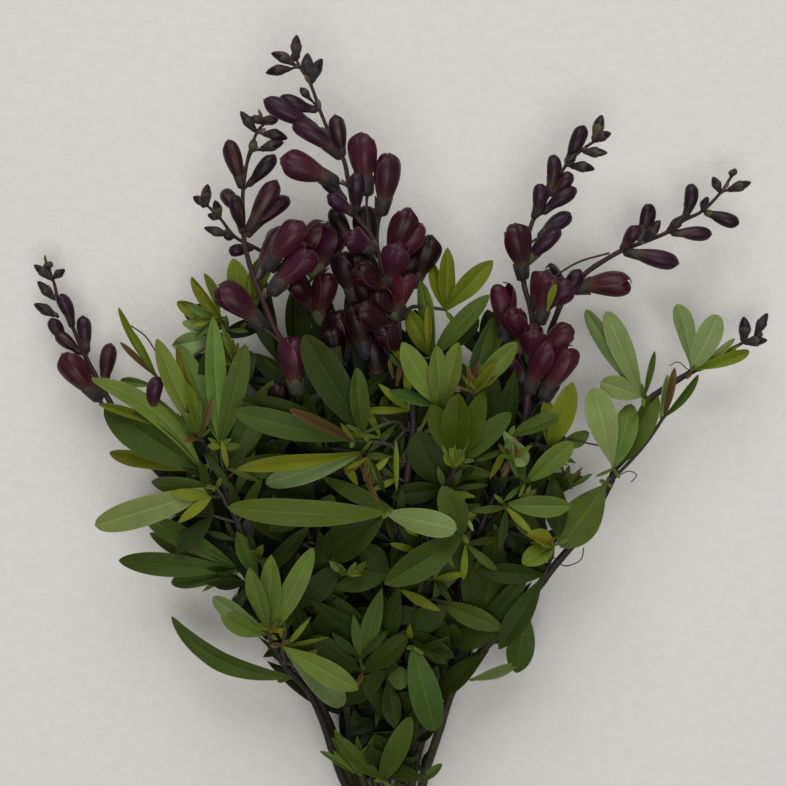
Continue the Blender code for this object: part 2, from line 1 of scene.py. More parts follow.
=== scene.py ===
"""The looks of a market bunch of dark-flowered false indigo, tied and laid on a pale floor.

Ten cut stems run through a rubber band.  Seven end in a flower spike, and leafy shoots leave them
all the way up.  Lengths are in millimetres until a mesh is made.  +Z is up from the surface that
the bunch lies on, and the flower spikes point along +Y.
"""

import logging
import math
from dataclasses import dataclass, field
from enum import Enum
from functools import partial
from typing import Any, Callable, Iterable, Sequence

import bpy
import numpy as np
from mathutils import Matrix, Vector
from mathutils.bvhtree import BVHTree


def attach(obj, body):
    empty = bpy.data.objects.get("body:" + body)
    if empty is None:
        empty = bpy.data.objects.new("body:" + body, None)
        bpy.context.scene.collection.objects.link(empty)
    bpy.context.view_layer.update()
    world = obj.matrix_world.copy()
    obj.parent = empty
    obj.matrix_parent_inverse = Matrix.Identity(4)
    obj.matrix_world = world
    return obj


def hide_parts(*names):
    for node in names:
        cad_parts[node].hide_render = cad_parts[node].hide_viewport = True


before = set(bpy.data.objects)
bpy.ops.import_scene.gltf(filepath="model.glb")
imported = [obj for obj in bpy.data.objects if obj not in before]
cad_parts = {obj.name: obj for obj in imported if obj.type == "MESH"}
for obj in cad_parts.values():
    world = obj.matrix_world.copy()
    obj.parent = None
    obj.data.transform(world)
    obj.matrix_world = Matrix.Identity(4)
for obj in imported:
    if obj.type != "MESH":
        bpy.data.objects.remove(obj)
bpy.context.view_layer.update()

LOG = logging.getLogger("bunch")
MM = 0.001
Array = np.ndarray
Rng = np.random.Generator
Colour = tuple[float, float, float]
Point = tuple[float, float, float]
Pair = tuple[float, float]
Material = bpy.types.Material
Hold = tuple[float, Vector, float, Vector]
Shell = tuple[list[Vector], list[tuple[int, ...]]]
Socket = bpy.types.NodeSocket
Finishes = Sequence[Material]

# Cut stems: the slot in the tie (column, row), the radius at the top, and the points that the
# stem passes through above the tie (x, y, height)
STEMS = {
    "far_left": ((-1, 0), 1.9, [(-25, -205, 19), (-40, -172, 25), (-60, -138, 30), (-78, -105, 32),
        (-92, -80, 32), (-106, -66, 30), (-124, -48, 27), (-140, -32, 25), (-150, -15, 24)]),
    "left": ((-0.5, 1), 2.0, [(-19, -205, 24), (-27, -160, 32), (-36, -110, 42), (-43, -60, 50),
        (-49, -20, 55), (-55, 8, 58)]),
    "tall": ((0, 2), 2.1, [(-4, -205, 30), (-2, -160, 38), (1, -110, 50), (6, -60, 60), (11, -20, 66),
        (10.5, -3, 68)]),
    "back_left": ((0, 0), 1.9, [(-12, -205, 14), (-18, -160, 16), (-24, -110, 20), (-28, -60, 25),
        (-31, -20, 30), (-32, 0, 33)]),
    "right": ((0.5, 1), 2.1, [(6, -205, 24), (18, -180, 28), (27, -150, 32), (36, -110, 38),
        (52, -65, 44), (68, -30, 48), (73, -12, 50)]),
    "low_right": ((1, 0), 1.9, [(12, -205, 12), (24, -165, 14), (36, -120, 17), (50, -75, 20),
        (66, -35, 24), (78, 0, 28), (86, 32, 31)]),
    "far_right": ((1.5, 1), 1.6, [(18, -208, 22), (24, -190, 26), (32, -165, 32), (40, -152, 36),
        (59, -131, 42), (75, -113, 45), (88, -96, 46), (104, -77, 46), (120, -48, 43), (124, -35, 41),
        (129, -24, 39), (140, -5, 36), (150, 3, 34), (163, 11, 32), (172, 16, 31)]),
    "front": ((1, 2), 1.6, [(3, -205, 32), (6, -160, 42), (12, -120, 54), (22, -80, 66), (32, -45, 76),
        (36, -25, 80), (41, -5, 84)]),
    "low_left": ((-1, 2), 1.5, [(-28, -212, 36), (-33, -198, 42), (-39, -180, 48), (-46, -165, 54),
        (-53, -157, 58), (-61, -148, 62), (-66, -137, 65)]),
    "leafy_left": ((-1.5, 1), 1.6, [(-27, -205, 26), (-40, -170, 36), (-56, -135, 44), (-72, -105, 50),
        (-84, -75, 54), (-94, -48, 57), (-103, -28, 59), (-110, -10, 60), (-118, 6, 60)])}

# Flower spikes: the points of the axis above the stem's end
AXES = {
    "far_left": [(-159, 1, 24), (-165, 12, 24), (-171, 24, 24), (-177, 38, 23), (-184, 51, 22),
        (-186, 59, 21), (-189, 68, 21)],
    "left": [(-60.5, 27, 59), (-66, 37, 60), (-71.5, 51, 61), (-79, 71, 62), (-82, 85, 62),
        (-82.5, 111, 61), (-79, 132, 60), (-75, 143, 59), (-71, 148, 58)],
    "tall": [(6, 10, 69), (3.5, 19, 70), (2.5, 40, 72), (-2, 55, 73), (-8.5, 78, 74), (-13, 88, 74),
        (-20, 97, 73), (-24, 113, 72), (-27, 128, 71), (-34, 141, 69), (-40, 155, 67), (-45, 169, 65),
        (-51, 179, 63), (-53, 183, 62)],
    "back_left": [(-35, 14, 35), (-38, 25, 37), (-45, 45, 40), (-55, 62, 42), (-66, 74, 42),
        (-76, 80, 41), (-87, 86, 40), (-95, 96, 38), (-102, 103, 37)],
    "right": [(74, -2, 51), (76, 15, 52), (77, 35, 52), (76, 45, 52), (72, 60, 52), (73, 80, 51),
        (77, 95, 50), (85, 108, 49), (95, 125, 47), (103, 133, 46), (110, 138, 45)],
    "low_right": [(92, 48, 32), (97, 57, 33), (103, 63, 33), (110, 69, 33), (125, 78, 33), (135, 82, 32),
        (150, 88, 31), (160, 95, 30), (170, 100, 29), (180, 110, 28), (186, 119, 27)],
    "far_right": [(178, 19, 30), (192, 27.5, 28), (199, 31, 27)]}

# Buds and flowers: where each leaves the axis (x, y), its tip (x, y), how far the tip stands
# above the axis, and its stage, from 0 for a young bud to 4 for an open flower
BUDS = {
    "far_left": [(-189, 67, -198, 71, 0, 1), (-188, 64, -183, 70, 2, 1), (-187, 58, -196, 61, 3, 1),
        (-186, 53, -195, 47, 1, 1), (-183, 44, -180, 50, 5, 1), (-176, 33, -183, 33, 4, 2),
        (-168, 20, -172, 42, 2, 2), (-160, -4, -184, 21, 3, 4), (-158, -2, -155, 27, -6, 3)],
    "left": [(-76, 142, -84, 155, 1, 1), (-73, 146, -78, 152, 5, 0), (-72, 147, -63, 151, 2, 1),
        (-73, 145, -58, 140, 0, 1), (-78, 130, -60, 138, 2, 1), (-80, 126, -76, 140, 7, 0),
        (-81, 116, -65, 131, 3, 2), (-82.5, 108, -91, 139, 3, 3), (-82, 100, -93, 111, -7, 2),
        (-82, 88, -88, 109, 10, 2), (-81, 86, -64, 117, 4, 3), (-79, 80, -57, 107, -3, 3),
        (-66, 37, -98, 57, 6, 4), (-75, 58, -49, 94, 7, 4), (-71, 49, -42, 77, 2, 4),
        (-73, 60, -60, 91, -8, 3), (-59, 19, -52, 32, 12, 4)],
    "tall": [(-53, 182, -53, 197, 0, 1), (-52, 180, -67, 187, 2, 1), (-51, 179, -70, 176, -1, 1),
        (-43, 165, -47, 187, -4, 1), (-42, 163, -39, 184, 3, 1), (-42, 160, -51, 168, 9, 0),
        (-40, 156, -62, 163, 1, 2), (-37, 146, -71, 161, 3, 3), (-29, 132, -55, 148, 6, 3),
        (-26, 126, -32, 153, 5, 2), (-25, 110, -62, 128, 3, 4), (-22, 103, -39, 123, -7, 2),
        (-20, 95, -36, 109, 7, 3), (-19, 94, -20, 122, 9, 2), (-12, 86, -16, 143, 3, 4),
        (-8, 78, -4, 132, 8, 4), (-6, 72, 9, 102, 7, 4), (-3, 62, 17, 92, 2, 4), (-2, 56, 4, 84, 12, 4),
        (1, 46, 10, 66, 8, 4), (-9, 76, -27, 87, 8, 4), (-4, 60, -23, 67, 10, 4), (1, 42, -10, 55, 13, 4),
        (3, 26, -21, 48, 12, 4), (4, 16, -8, 36, 14, 4)],
    "back_left": [(-101, 102, -110, 108, 1, 1), (-100, 101, -102, 115, 2, 1), (-95, 96, -98, 106, 5, 1),
        (-92, 92, -102, 98, 3, 1), (-88, 87, -104, 91, 2, 1), (-84, 84, -93, 86, 5, 1),
        (-78, 81, -90, 77, 2, 2), (-54, 61, -36, 93, 5, 4), (-48, 50, -27, 91, 4, 4),
        (-45, 44, -56, 63, 9, 4), (-41, 32, -34, 66, 9, 4), (-37, 20, -33, 42, 10, 3)],
    "right": [(110, 138, 115, 153, 1, 1), (109, 137, 120, 143, 0, 1), (100, 130, 118, 132, 1, 1),
        (99, 129, 105, 147, 2, 2), (95, 124, 101, 132, 8, 1), (94, 122, 111, 123, 0, 1),
        (85, 108, 98, 121, 4, 2), (83, 105, 88, 131, 2, 2), (76, 92, 81, 115, 6, 2),
        (76, 91, 101, 112, 2, 2), (75, 83, 98, 98, -4, 2), (73, 73, 92, 90, 4, 3), (72, 62, 65, 93, 4, 4),
        (75, 46, 86, 67, 8, 4), (76, 42, 99, 60, 2, 4), (76, 40, 56, 59, 5, 4), (77, 30, 64, 47, 9, 4),
        (76, 12, 77, 38, 14, 4), (76, 10, 99, 36, 5, 4), (75, 6, 88, 29, 10, 4)],
    "low_right": [(179, 109, 197, 116, 1, 1), (176, 106, 176, 119, 2, 1), (186, 118, 188, 123, 0, 0),
        (169, 100, 190, 93, 0, 2), (166, 98, 173, 108, 6, 1), (161, 95, 164, 115, 2, 2),
        (151, 88, 175, 87, -1, 2), (147, 87, 161, 98, 6, 1), (137, 83, 141, 104, 3, 2),
        (140, 84, 147, 95, 5, 1), (127, 79, 135, 92, 6, 3), (129, 80, 157, 71, 2, 3),
        (99, 59, 131, 58, 3, 4), (94, 52, 103, 68, 6, 3)],
    "far_right": [(192, 27, 193, 42, 2, 1), (198, 31, 206, 44, 1, 1), (194, 28, 206, 29, 0, 1)]}

# Flowers inside each cluster, which have no plain solid: foot and tip (x, y, height) and stage
INNER_FLOWERS = {
    "far_left": [((-171, 21, 27), (-185.5, 33, 28), 2), ((-131.5, -13, 66), (-129, 9, 71), 3)],
    "tall": [((-22, 82, 66), (-34, 101, 62), 3), ((-12, 70, 64), (-17, 102, 62), 4),
        ((-4, 56, 62), (-24, 78, 66), 4), ((-7, 36, 60), (-22, 66, 60), 4),
        ((-14, 18, 56), (-22, 49, 58), 4), ((0, 20, 56), (-9, 50, 58), 4),
        ((-8, 2, 52), (-13, 31, 53), 4), ((-8, 78, 76), (-22, 81, 80), 1),
        ((-20, 48, 58), (-27, 78, 61), 4), ((2, 48, 62), (15, 78, 65), 4),
        ((10, 56, 58), (21, 87, 62), 4)],
    "back_left": [((-30, 8, 46), (-35, 36, 50), 4), ((-26, 16, 44), (-29, 46, 47), 4),
        ((-66, 66, 46), (-61, 90, 46), 4)],
    "left": [((-66, -16, 58), (-62, 6, 60), 4)],
    "right": [((70, 20, 50), (66, 47, 50), 4), ((76, 4, 48), (62, 24, 50), 4),
        ((80, 36, 56), (89, 64, 58), 4), ((82, 2, 48), (84, 27, 50), 4),
        ((81, -6, 54), (101, 24, 58), 4)],
    "low_right": [((97, 57, 34), (82, 66, 38), 4)]}

# Flowers drawn longer than their plain solids and moved a little: for a spike and a flower's
# number, its foot and tip (x, y, height) and its stage
GROWN_FLOWERS = {
    ("left", 16): ((-52, -4, 66), (-53, 31, 70), 4), ("left", 12): ((-61, 27, 62), (-98, 57, 70), 4),
    ("right", 15): ((61, 25, 50), (57, 60, 56), 4),
    ("far_left", 0): ((-187.5, 62, 22), (-197.5, 70.5, 22), 1),
    ("far_left", 1): ((-187, 63, 22), (-180.5, 68, 24), 1),
    ("far_left", 2): ((-185.5, 51, 23), (-195.5, 61.5, 25), 1),
    ("far_left", 3): ((-184, 41.5, 23), (-197.5, 49, 24), 1),
    ("far_left", 4): ((-176, 35, 24), (-183.5, 54, 30), 2),
    ("far_left", 5): ((-179, 27, 25), (-188, 41, 28), 2),
    ("far_left", 6): ((-168, 21, 24), (-170.5, 42.5, 26), 2),
    ("far_left", 7): ((-157, -9, 24), (-181, 22, 28), 4)}

# Painted shade and light on some flowers: a factor on the colour of their stage, below 1 darkening
# flowers deep in the clusters as painted shade, above 1 lightening one as painted light; it takes the
# place of the inner flowers' painted shade
FLOWER_PAINTED_LIGHT_AND_SHADE = {
    ("tall", 21): 0.65, ("tall", 22): 0.4, ("tall", 23): 0.4, ("tall", 24): 0.35, ("back_left", 9): 0.7,
    ("back_left", 10): 0.7, ("back_left", 11): 0.4, ("far_left", 9): 1.0, ("far_left", 10): 1.3,
    ("right", 22): 0.8, ("right", 24): 1.0}

# Leafy shoots: where the leaflets spring from (x, y, height), the tone of each leaflet, and each
# leaflet's tip (x, y), how far the tip stands above its base, and its width
SHOOTS = {
    "low_left_rosette": ((-68, -132, 70), "GBBB", [(-99, -112, 8, 10), (-79, -96, 22, 8),
        (-67, -89, 14, 11), (-44, -85, 10, 12)]),
    "low_left_drooping": ((-61, -139, 72), "BG", [(-19, -163, 8, 13), (-27, -172, -16, 14)]),
    "low_left_curved": ((-56, -156, 50), "M", [(-122, -123, -22, 12)]),
    "low_middle": ((-17, -153, 58), "DD", [(-45, -134, 6, 12), (8, -134, 10, 9)]),
    "low_hanging": ((11, -140, 64), "M", [(23, -186, -6, 17)]),
    "lowest": ((-6, -212, 46), "MM", [(10, -178, 16, 12), (-32, -188, 10, 6)]),
    "low_shaded": ((3, -138, 26), "SS", [(0, -176, -4, 15), (-22, -166, -8, 13)]),
    "middle_long": ((-4, -66, 76), "MGD", [(-91, -63, 6, 15), (35, -75, 12, 14), (-38, -90, -14, 20)]),
    "middle_left": ((-22, -26, 78), "DMR", [(-83, -4, 2, 16), (-88, -10, 8, 14), (-57, -9, 16, 5)]),
    "middle_yellow": ((-18, -33, 72), "YG", [(-86, -42, 8, 7), (-70, -50, -4, 13)]),
    "broad_upright": ((-16, -22, 80), "DM", [(-49, 32, 8, 19), (-20, 14, 16, 9)]),
    "ribbed": ((38, -78, 72), "MM", [(-5, -105, 10, 17), (27, -51, 16, 15)]),
    "dark_round": ((28, -52, 62), "DD", [(12, -22, 8, 20), (-1, -57, 2, 11)]),
    "front_rosette": ((35, -37, 86), "LLLM", [(21, -6, 6, 13), (36, 0, 18, 15), (50, 1, 8, 12),
        (65, -11, 4, 11)]),
    "front_pale": ((26, -8, 80), "BBBM", [(5, 28, 8, 13), (24, 26, 14, 9), (36, 28, 10, 11),
        (-2, 1, -2, 6)]),
    "front_bronze": ((44, 0, 86), "BYM", [(68, 28, 6, 11), (57, 17, 14, 5), (53, 37, -2, 10)]),
    "behind_tall": ((29, 46, 60), "YYY", [(30, 80, 4, 10), (55, 73, 6, 11), (21, 73, 0, 6)]),
    "behind_front": ((22, 20, 64), "MMYB", [(53, 54, 2, 10), (47, 42, -10, 12), (8, 46, 2, 10),
        (15, 62, 0, 9)]),
    "right_upright": ((86, -30, 58), "YYB", [(99, 6, 6, 13), (84, -3, -4, 10), (108, -22, -6, 8)]),
    "right_small": ((64, -24, 64), "MG", [(91, -13, 4, 8), (73, -40, 4, 8)]),
    "right_bright": ((73, -49, 60), "BM", [(99, -27, 8, 12), (62, -28, -6, 10)]),
    "right_level": ((62, -61, 62), "BM", [(98, -62, 8, 11), (80, -78, -6, 10)]),
    "right_dark": ((117, -50, 50), "M", [(92, -85, 6, 22)]),
    "right_yellow": ((88, -84, 54), "YY", [(71, -94, 8, 9), (73, -78, 4, 8)]),
    "hanging_dark": ((57, -76, 52), "DD", [(50, -121, -2, 23), (38, -100, -10, 16)]),
    "crossing_dark": ((54, -119, 48), "D", [(-3, -131, -8, 13)]),
    "hanging_right": ((73, -118, 36), "M", [(68, -154, -8, 16)]),
    "far_right_top": ((164, 13, 37), "GGY", [(156, 49, 6, 11), (179, 43, 4, 14), (196, 23, -8, 6)]),
    "far_right_middle": ((137, -2, 42), "GGG", [(106, 46, 0, 9), (117, 45, 8, 13), (114, 6, 4, 13)]),
    "far_right_pair": ((121, -41, 47), "GB", [(110, 3, 4, 17), (131, -6, -8, 14)]),
    "left_pale": ((-97, -52, 64), "GM", [(-164, -73, 2, 16), (-133, -49, -6, 9)]),
    "left_low": ((-84, -97, 50), "MMMM", [(-151, -92, -2, 13), (-136, -69, -6, 12), (-122, -104, -12, 10),
        (-134, -77, -14, 8)]),
    "left_dark": ((-105, -43, 62), "MBY", [(-159, -8, -2, 21), (-166, 8, 6, 10), (-156, -33, -20, 8)]),
    "left_upright": ((-106, -24, 68), "BYY", [(-130, 30, 6, 11), (-119, 26, -4, 9), (-114, 6, 12, 5)]),
    "left_tall": ((-95, -28, 68), "BMB", [(-99, 42, 8, 10), (-81, 27, 6, 12), (-118, 27, -14, 9)]),
    "left_star": ((-91, 35, 50), "YYM", [(-111, 64, 2, 6), (-119, 50, -2, 7), (-115, 44, -8, 7)]),
    "left_behind": ((-80, 40, 46), "YB", [(-88, 74, 2, 12), (-72, 75, -2, 10)]),
    # The under_ shoots lie near the floor in tone S: dark leaves that paint the shade under the bunch
    "under_far_left": ((-96, -62, 15), "SS", [(-128, -84, -15, 18), (-126, -40, -15, 16)]),
    "under_left": ((-52, -8, 15), "SS", [(-86, 22, -15, 17), (-40, 38, -15, 16)]),
    "under_middle": ((-10, -108, 11), "SS", [(-52, -128, -11, 18), (24, -74, -11, 18)]),
    "under_right": ((56, -44, 11), "SS", [(94, -60, -11, 18), (44, -2, -11, 17)]),
    "under_far_right": ((84, -8, 16), "SS", [(93, -40, -16, 14), (70, 24, -16, 14)])}

# How far a leaflet bends to one side, as a share of its length
SWAYS = {
    ("low_left_curved", 0): -0.11, ("left_dark", 1): 0.12}

# Small young leaves and stipules, and wide leaves of tones D and S deep behind the flowers that paint the
# shade in the gaps: foot and tip (x, y, height), width and tone
SPRIGS = [
    ((-130, 9, 54), (-151, 47, 50), 4, "Y"), ((-130, 9, 55), (-146, 37, 58), 4, "Y"),
    ((-130, 9, 53), (-150, 28, 48), 3.5, "R"), ((-189, 68, 21), (-191.5, 76, 22), 1.6, "M"),
    ((-118, -21, 67), (-162, -6, 65), 5, "Y"), ((-124, 18, 62), (-112, -12, 66), 3, "R"),
    ((-21, -209, 46), (-40, -197, 44), 4, "B"), ((-21, -209, 47), (-32, -185, 52), 5, "B"),
    ((-21, -209, 46), (-12, -193, 50), 5, "B"), ((0, -216, 42), (12, -200, 46), 5, "M"),
    ((14, -214, 40), (27, -204, 42), 5, "M"), ((42, -158, 34), (68, -149, 30), 6, "G"),
    ((148, -14, 36), (168, 10, 40), 4.5, "M"), ((149, -14, 37), (155, 14, 40), 4.5, "R"),
    ((138, -3, 40), (144, 23, 42), 3.5, "M"), ((60, -20, 66), (73, -39, 62), 8, "G"),
    ((19, 22, 72), (19, 48, 76), 4, "Y"), ((44, 2, 88), (47, 18, 92), 3, "R"),
    ((46, 2, 88), (54, 16, 92), 3, "R"), ((44, 1, 88), (41, 15, 94), 2.5, "R"),
    ((48, 2, 87), (58, 10, 90), 3, "Y"), ((-18, -38, 82), (-10, -50, 84), 3, "R"),
    ((-18, -40, 80), (-8, -60, 78), 3, "R"), ((64, -36, 66), (60, -46, 68), 4, "R"),
    ((64, -36, 66), (71, -28, 68), 3, "R"), ((0, 8, 76), (-2, 19, 78), 2.5, "R"),
    ((2, 4, 76), (4, 16, 78), 2.5, "R"), ((147, -14, 35), (151, 10, 37), 6, "G"),
    ((40, -68, 78), (44, -76, 80), 2, "G"), ((-62, 16, 34), (-73, 66, 32), 17, "D"),
    ((-52, 12, 32), (-54, 58, 30), 15, "D"), ((-30, 4, 34), (-40, 58, 36), 15, "S"),
    ((-14, 4, 36), (-20, 66, 38), 15, "S"), ((-4, 6, 40), (-4, 58, 42), 14, "S"),
    ((66, -10, 34), (66, 34, 34), 16, "D"), ((80, -12, 30), (88, 24, 28), 14, "S"),
    ((168, 12, 30), (190, 27, 33), 5, "Y"), ((170, 15, 32), (188, 30, 35), 4, "G"),
    ((-92, -20, 70), (-86, -4, 72), 4, "Y"), ((-105, -22, 72), (-98, -6, 74), 4, "Y"),
    ((-66, -128, 72), (-72, -116, 76), 4, "Y"), ((-66, -128, 72), (-60, -112, 78), 5, "Y"),
    ((34, -40, 90), (33, -26, 94), 4, "Y"), ((34, -40, 90), (42, -24, 92), 4, "B"),
    ((24, -8, 84), (22, 8, 88), 4, "Y"), ((123, -42, 36), (144.5, 1, 34), 13, "M"),
    ((-92, 30, 42), (-121.5, 26, 46), 13, "G"), ((-98, 30, 46), (-116, 39, 48), 7, "G"),
    ((-77, 52, 48), (-67, 73, 54), 8, "Y"), ((6, -22, 38), (4, 36, 40), 18, "S"),
    ((14, -8, 36), (12, 46, 38), 16, "S"), ((-16, -8, 38), (-14, 46, 40), 16, "S"),
    ((54, 6, 36), (52, 46, 36), 14, "S"), ((44, 8, 44), (60, 44, 46), 12, "M"),
    ((-108, -26, 62), (-134, -2, 62), 9, "B"), ((-70, -133, 72), (-95, -121, 76), 10, "B"),
    ((-132, 4, 62), (-150, 7, 60), 5, "B"), ((85, 45, 69), (89.5, 60, 67), 3.6, "Y")]

# Tufts of thin young leaves: foot (x, y, height), heading and spread in degrees, count, the
# shortest and the longest, width, and the tones that they take in turn
TUFTS = [
    ((46, 0, 90), 100, 120, 11, (9, 19), 1.6, "RRMRY"),
    ((-86, 16, 60), 125, 90, 9, (12, 24), 3.2, "YRBYM"),
    ((-95, 42, 50), 165, 110, 8, (14, 26), 4.0, "BYMB"),
    ((-106, -24, 70), 95, 60, 8, (14, 34), 3.4, "YRYB"),
    ((-14, -36, 84), 250, 120, 8, (7, 15), 1.8, "RYRM"),
    ((97, -52, 58), 75, 80, 6, (7, 15), 2.2, "MDRM"),
    ((-26, -100, 66), 80, 160, 6, (8, 15), 4.0, "YMB"),
    ((66, -36, 68), 100, 150, 8, (6, 13), 1.8, "RYRB"),
    ((-68, -130, 74), 60, 200, 7, (6, 13), 2.2, "RYBM"),
    ((34, -40, 90), 90, 90, 6, (8, 16), 2.6, "YBY"),
    ((-18, -210, 44), 100, 90, 8, (12, 30), 3.6, "MBMY"),
    ((6, 14, 78), 90, 90, 6, (7, 14), 2.0, "RYM"),
    ((72, -62, 62), 60, 140, 6, (7, 14), 2.2, "YRB"),
    ((84, -86, 56), 100, 120, 5, (6, 12), 2.0, "RYY"),
    ((-130, -11, 66), 80, 220, 6, (5, 11), 1.7, "RYR")]

# Thin stalks and tendrils: radius, and the points (x, y, height)
STALKS = [
    (1.0, [(121, -47, 42), (131, -37, 40), (141, -25, 38), (149, -13, 36)]),
    (0.5, [(94, -25, 60), (104, -27, 56), (114, -29, 50)]),
    (0.6, [(87, 63, 46), (102, 72, 42), (119, 77, 35)]),
    (0.3, [(122, -47, 42), (129, -43, 42), (134, -45, 40), (131, -49, 38)]),
    (0.3, [(162, 13, 34), (157, 17, 38), (152, 15, 40)]),
    (0.35, [(87, -89, 54), (94, -95, 52), (103, -92, 50), (105, -85, 50)]),
    (0.4, [(-144, 37, 48), (-136, 31, 50), (-130, 22, 52)]),
    (0.8, [(-130, 9, 54), (-129, -3, 60), (-120, -17, 64)])]

# The outline of the leafy mass, seen from above: inner leaves stay inside it
MASS_OUTLINE = [
    (-35, -163), (-79, -147), (-98, -119), (-117, -97), (-134, -59), (-136, -28), (-128, -8), (-112, 12),
    (-106, 36), (-92, 58), (-52, 66), (-8, 72), (26, 68), (51, 51), (62, 18), (92, -4), (103, -31),
    (106, -59), (92, -92), (73, -114), (59, -141), (34, -163), (23, -191), (18, -216), (-21, -216),
    (-26, -180)]


class Tone(Enum):
    """The greens and the browns of the leaves: the letter that the tables use, and the colour. D and S
    also stand for painted shade: D is partly a real dark green, S is painted shade on leaves deep in the
    bunch.
    """

    GLAUCOUS = ("G", (0.150, 0.206, 0.068))
    MID = ("M", (0.045, 0.071, 0.010))
    BRIGHT = ("B", (0.090, 0.134, 0.022))
    YELLOW = ("Y", (0.104, 0.134, 0.008))
    MOSS = ("L", (0.042, 0.058, 0.001))
    # A dark green, made darker still as painted shade for leaves that lie in shade
    DARK = ("D", (0.017, 0.028, 0.002))
    # Painted shade: a near-black green for leaves deep in the bunch and near the floor
    SHADE = ("S", (0.008, 0.014, 0.002))
    BRONZE = ("R", (0.080, 0.052, 0.016))

    def __init__(self, letter: str, tint: Colour) -> None:
        """Names the two values."""
        self.letter, self.tint = letter, tint


class Stage(Enum):
    """How far a bud has come.

    Each stage holds the length and the greatest radius of the plain solid, those of the flower
    that is drawn, the calyx's share of its length, and the colour of its petals.
    """

    YOUNG = (6.5, 1.9, 8.5, 2.5, 0.86, (0.014, 0.011, 0.012))
    BUD = (12.0, 2.8, 14.0, 3.3, 0.62, (0.014, 0.009, 0.013))
    SWELLING = (18.0, 3.9, 23.0, 4.1, 0.46, (0.017, 0.006, 0.013))
    CLOSED = (27.0, 5.0, 33.0, 5.0, 0.37, (0.025, 0.006, 0.014))
    OPEN = (29.0, 6.2, 34.0, 7.1, 0.33, (0.039, 0.006, 0.015))

    def __init__(self, length: float, radius: float, full_length: float, full_radius: float,
                 calyx: float, tint: Colour) -> None:
        """Names the six values."""
        self.length, self.radius = length, radius
        self.full_length, self.full_radius = full_length, full_radius
        self.calyx, self.tint = calyx, tint


TONES = {tone.letter: tone for tone in Tone}
STAGES = tuple(Stage)

# How brown the tips of some tones are
BROWNED = {Tone.BRONZE: 0.5, Tone.YELLOW: 0.22, Tone.BRIGHT: 0.1}


@dataclass
class StemLine:
    """A stem or an axis: its points and the radius at each."""

    points: list[Vector]
    radii: list[float]


@dataclass
class PlacedBud:
    """A bud or flower: where it leaves its axis, its tip, and which way the axis grows there."""

    root: Vector
    tip: Vector
    stage: Stage
    axis: Vector


class Thicket:
    """The solids placed so far, which a new solid of another piece has to stay clear of."""

    def __init__(self) -> None:
        """Starts with no solid."""
        self.placed: list[tuple[str, Array, Array, BVHTree]] = []

    def add(self, owner: str, shell: Shell) -> None:
        """Keeps a shell's box and its faces under the name of its piece."""
        corners = np.array(shell[0])
        tree = BVHTree.FromPolygons(*shell)
        self.placed.append((owner, corners.min(axis=0), corners.max(axis=0), tree))

    def touches(self, owner: str, shell: Shell) -> bool:
        """Whether the shell meets a solid of any other piece.

        Args:
            owner: The piece that the shell belongs to.
            shell: The corners and the faces of a closed solid.

        Returns:
            True at the first solid that it meets.
        """
        corners = np.array(shell[0])
        low, high = corners.min(axis=0), corners.max(axis=0)
        tree = None
        for other, other_low, other_high, other_tree in self.placed:
            if other == owner or (low > other_high).any() or (high < other_low).any():
                continue
            tree = tree or BVHTree.FromPolygons(*shell)
            if tree.overlap(other_tree):
                return True
        return False


def smooth(knots: Iterable[Sequence[float]], step: float) -> list[Vector]:
    """Points about one step apart on a smooth curve through the knots (Catmull-Rom).

    Args:
        knots: The points that the curve passes through.
        step: Distance between points, roughly.

    Returns:
        The points, with every knot among them.
    """
    knots = [Vector(k) for k in knots]
    ends = [2 * knots[0] - knots[1]] + knots + [2 * knots[-1] - knots[-2]]
    points = [knots[0]]
    for a, b, c, d in zip(ends, ends[1:], ends[2:], ends[3:]):
        count = max(1, round((c - b).length / step))
        for i in range(1, count + 1):
            t = i / count
            points.append(0.5 * (2 * b + (c - a) * t + (2 * a - 5 * b + 4 * c - d) * t * t
                                 + (3 * b - a - 3 * c + d) * t ** 3))
    return points


def bent(start: Any, middle: Any, end: Any, t: Any) -> Any:
    """The point at share t of a curve that runs from start to end and leans towards middle."""
    return (1 - t) ** 2 * start + 2 * t * (1 - t) * middle + t * t * end


def frames(points: Sequence[Vector]) -> list[tuple[Vector, Vector, Vector]]:
    """A tangent, a side and an up direction at each point, turning as little as they can."""
    result = []
    side = None
    for i in range(len(points)):
        tangent = (points[min(i + 1, len(points) - 1)] - points[max(i - 1, 0)]).normalized()
        if side is None:
            guide = Vector((0, 0, 1)) if abs(tangent.z) < 0.9 else Vector((1, 0, 0))
            side = tangent.cross(guide)
        side = (side - tangent * side.dot(tangent)).normalized()
        result.append((tangent, side, side.cross(tangent)))
    return result


def blade_frame(root: Vector, tip: Vector) -> tuple[Vector, Vector]:
    """The side and the upper direction of a leaf blade that runs from root to tip."""
    along = (tip - root).normalized()
    upward = Vector((0, 0, 1)) if abs(along.z) < 0.95 else Vector((0, -1, 0))
    side = along.cross(upward).normalized()
    return side, side.cross(along)


def ring_shell(rings: list[list[Vector]], end: Vector | None = None) -> Shell:
    """A closed shell through rings of equal count.

    Args:
        rings: Rings of points, all with the same count.
        end: The point that the last ring closes on, or None for a flat end.

    Returns:
        The corners and the faces.
    """
    verts = [v for ring in rings for v in ring]
    sides = len(rings[0])
    last = len(verts) - sides
    faces: list[tuple[int, ...]] = [
        (r + s, r + (s + 1) % sides, r + (s + 1) % sides + sides, r + s + sides)
        for r in range(0, last, sides) for s in range(sides)]
    faces.append(tuple(reversed(range(sides))))
    if end is None:
        faces.append(tuple(range(last, last + sides)))
    else:
        verts.append(end)
        faces += [(last + i, last + (i + 1) % sides, len(verts) - 1) for i in range(sides)]
    return verts, faces


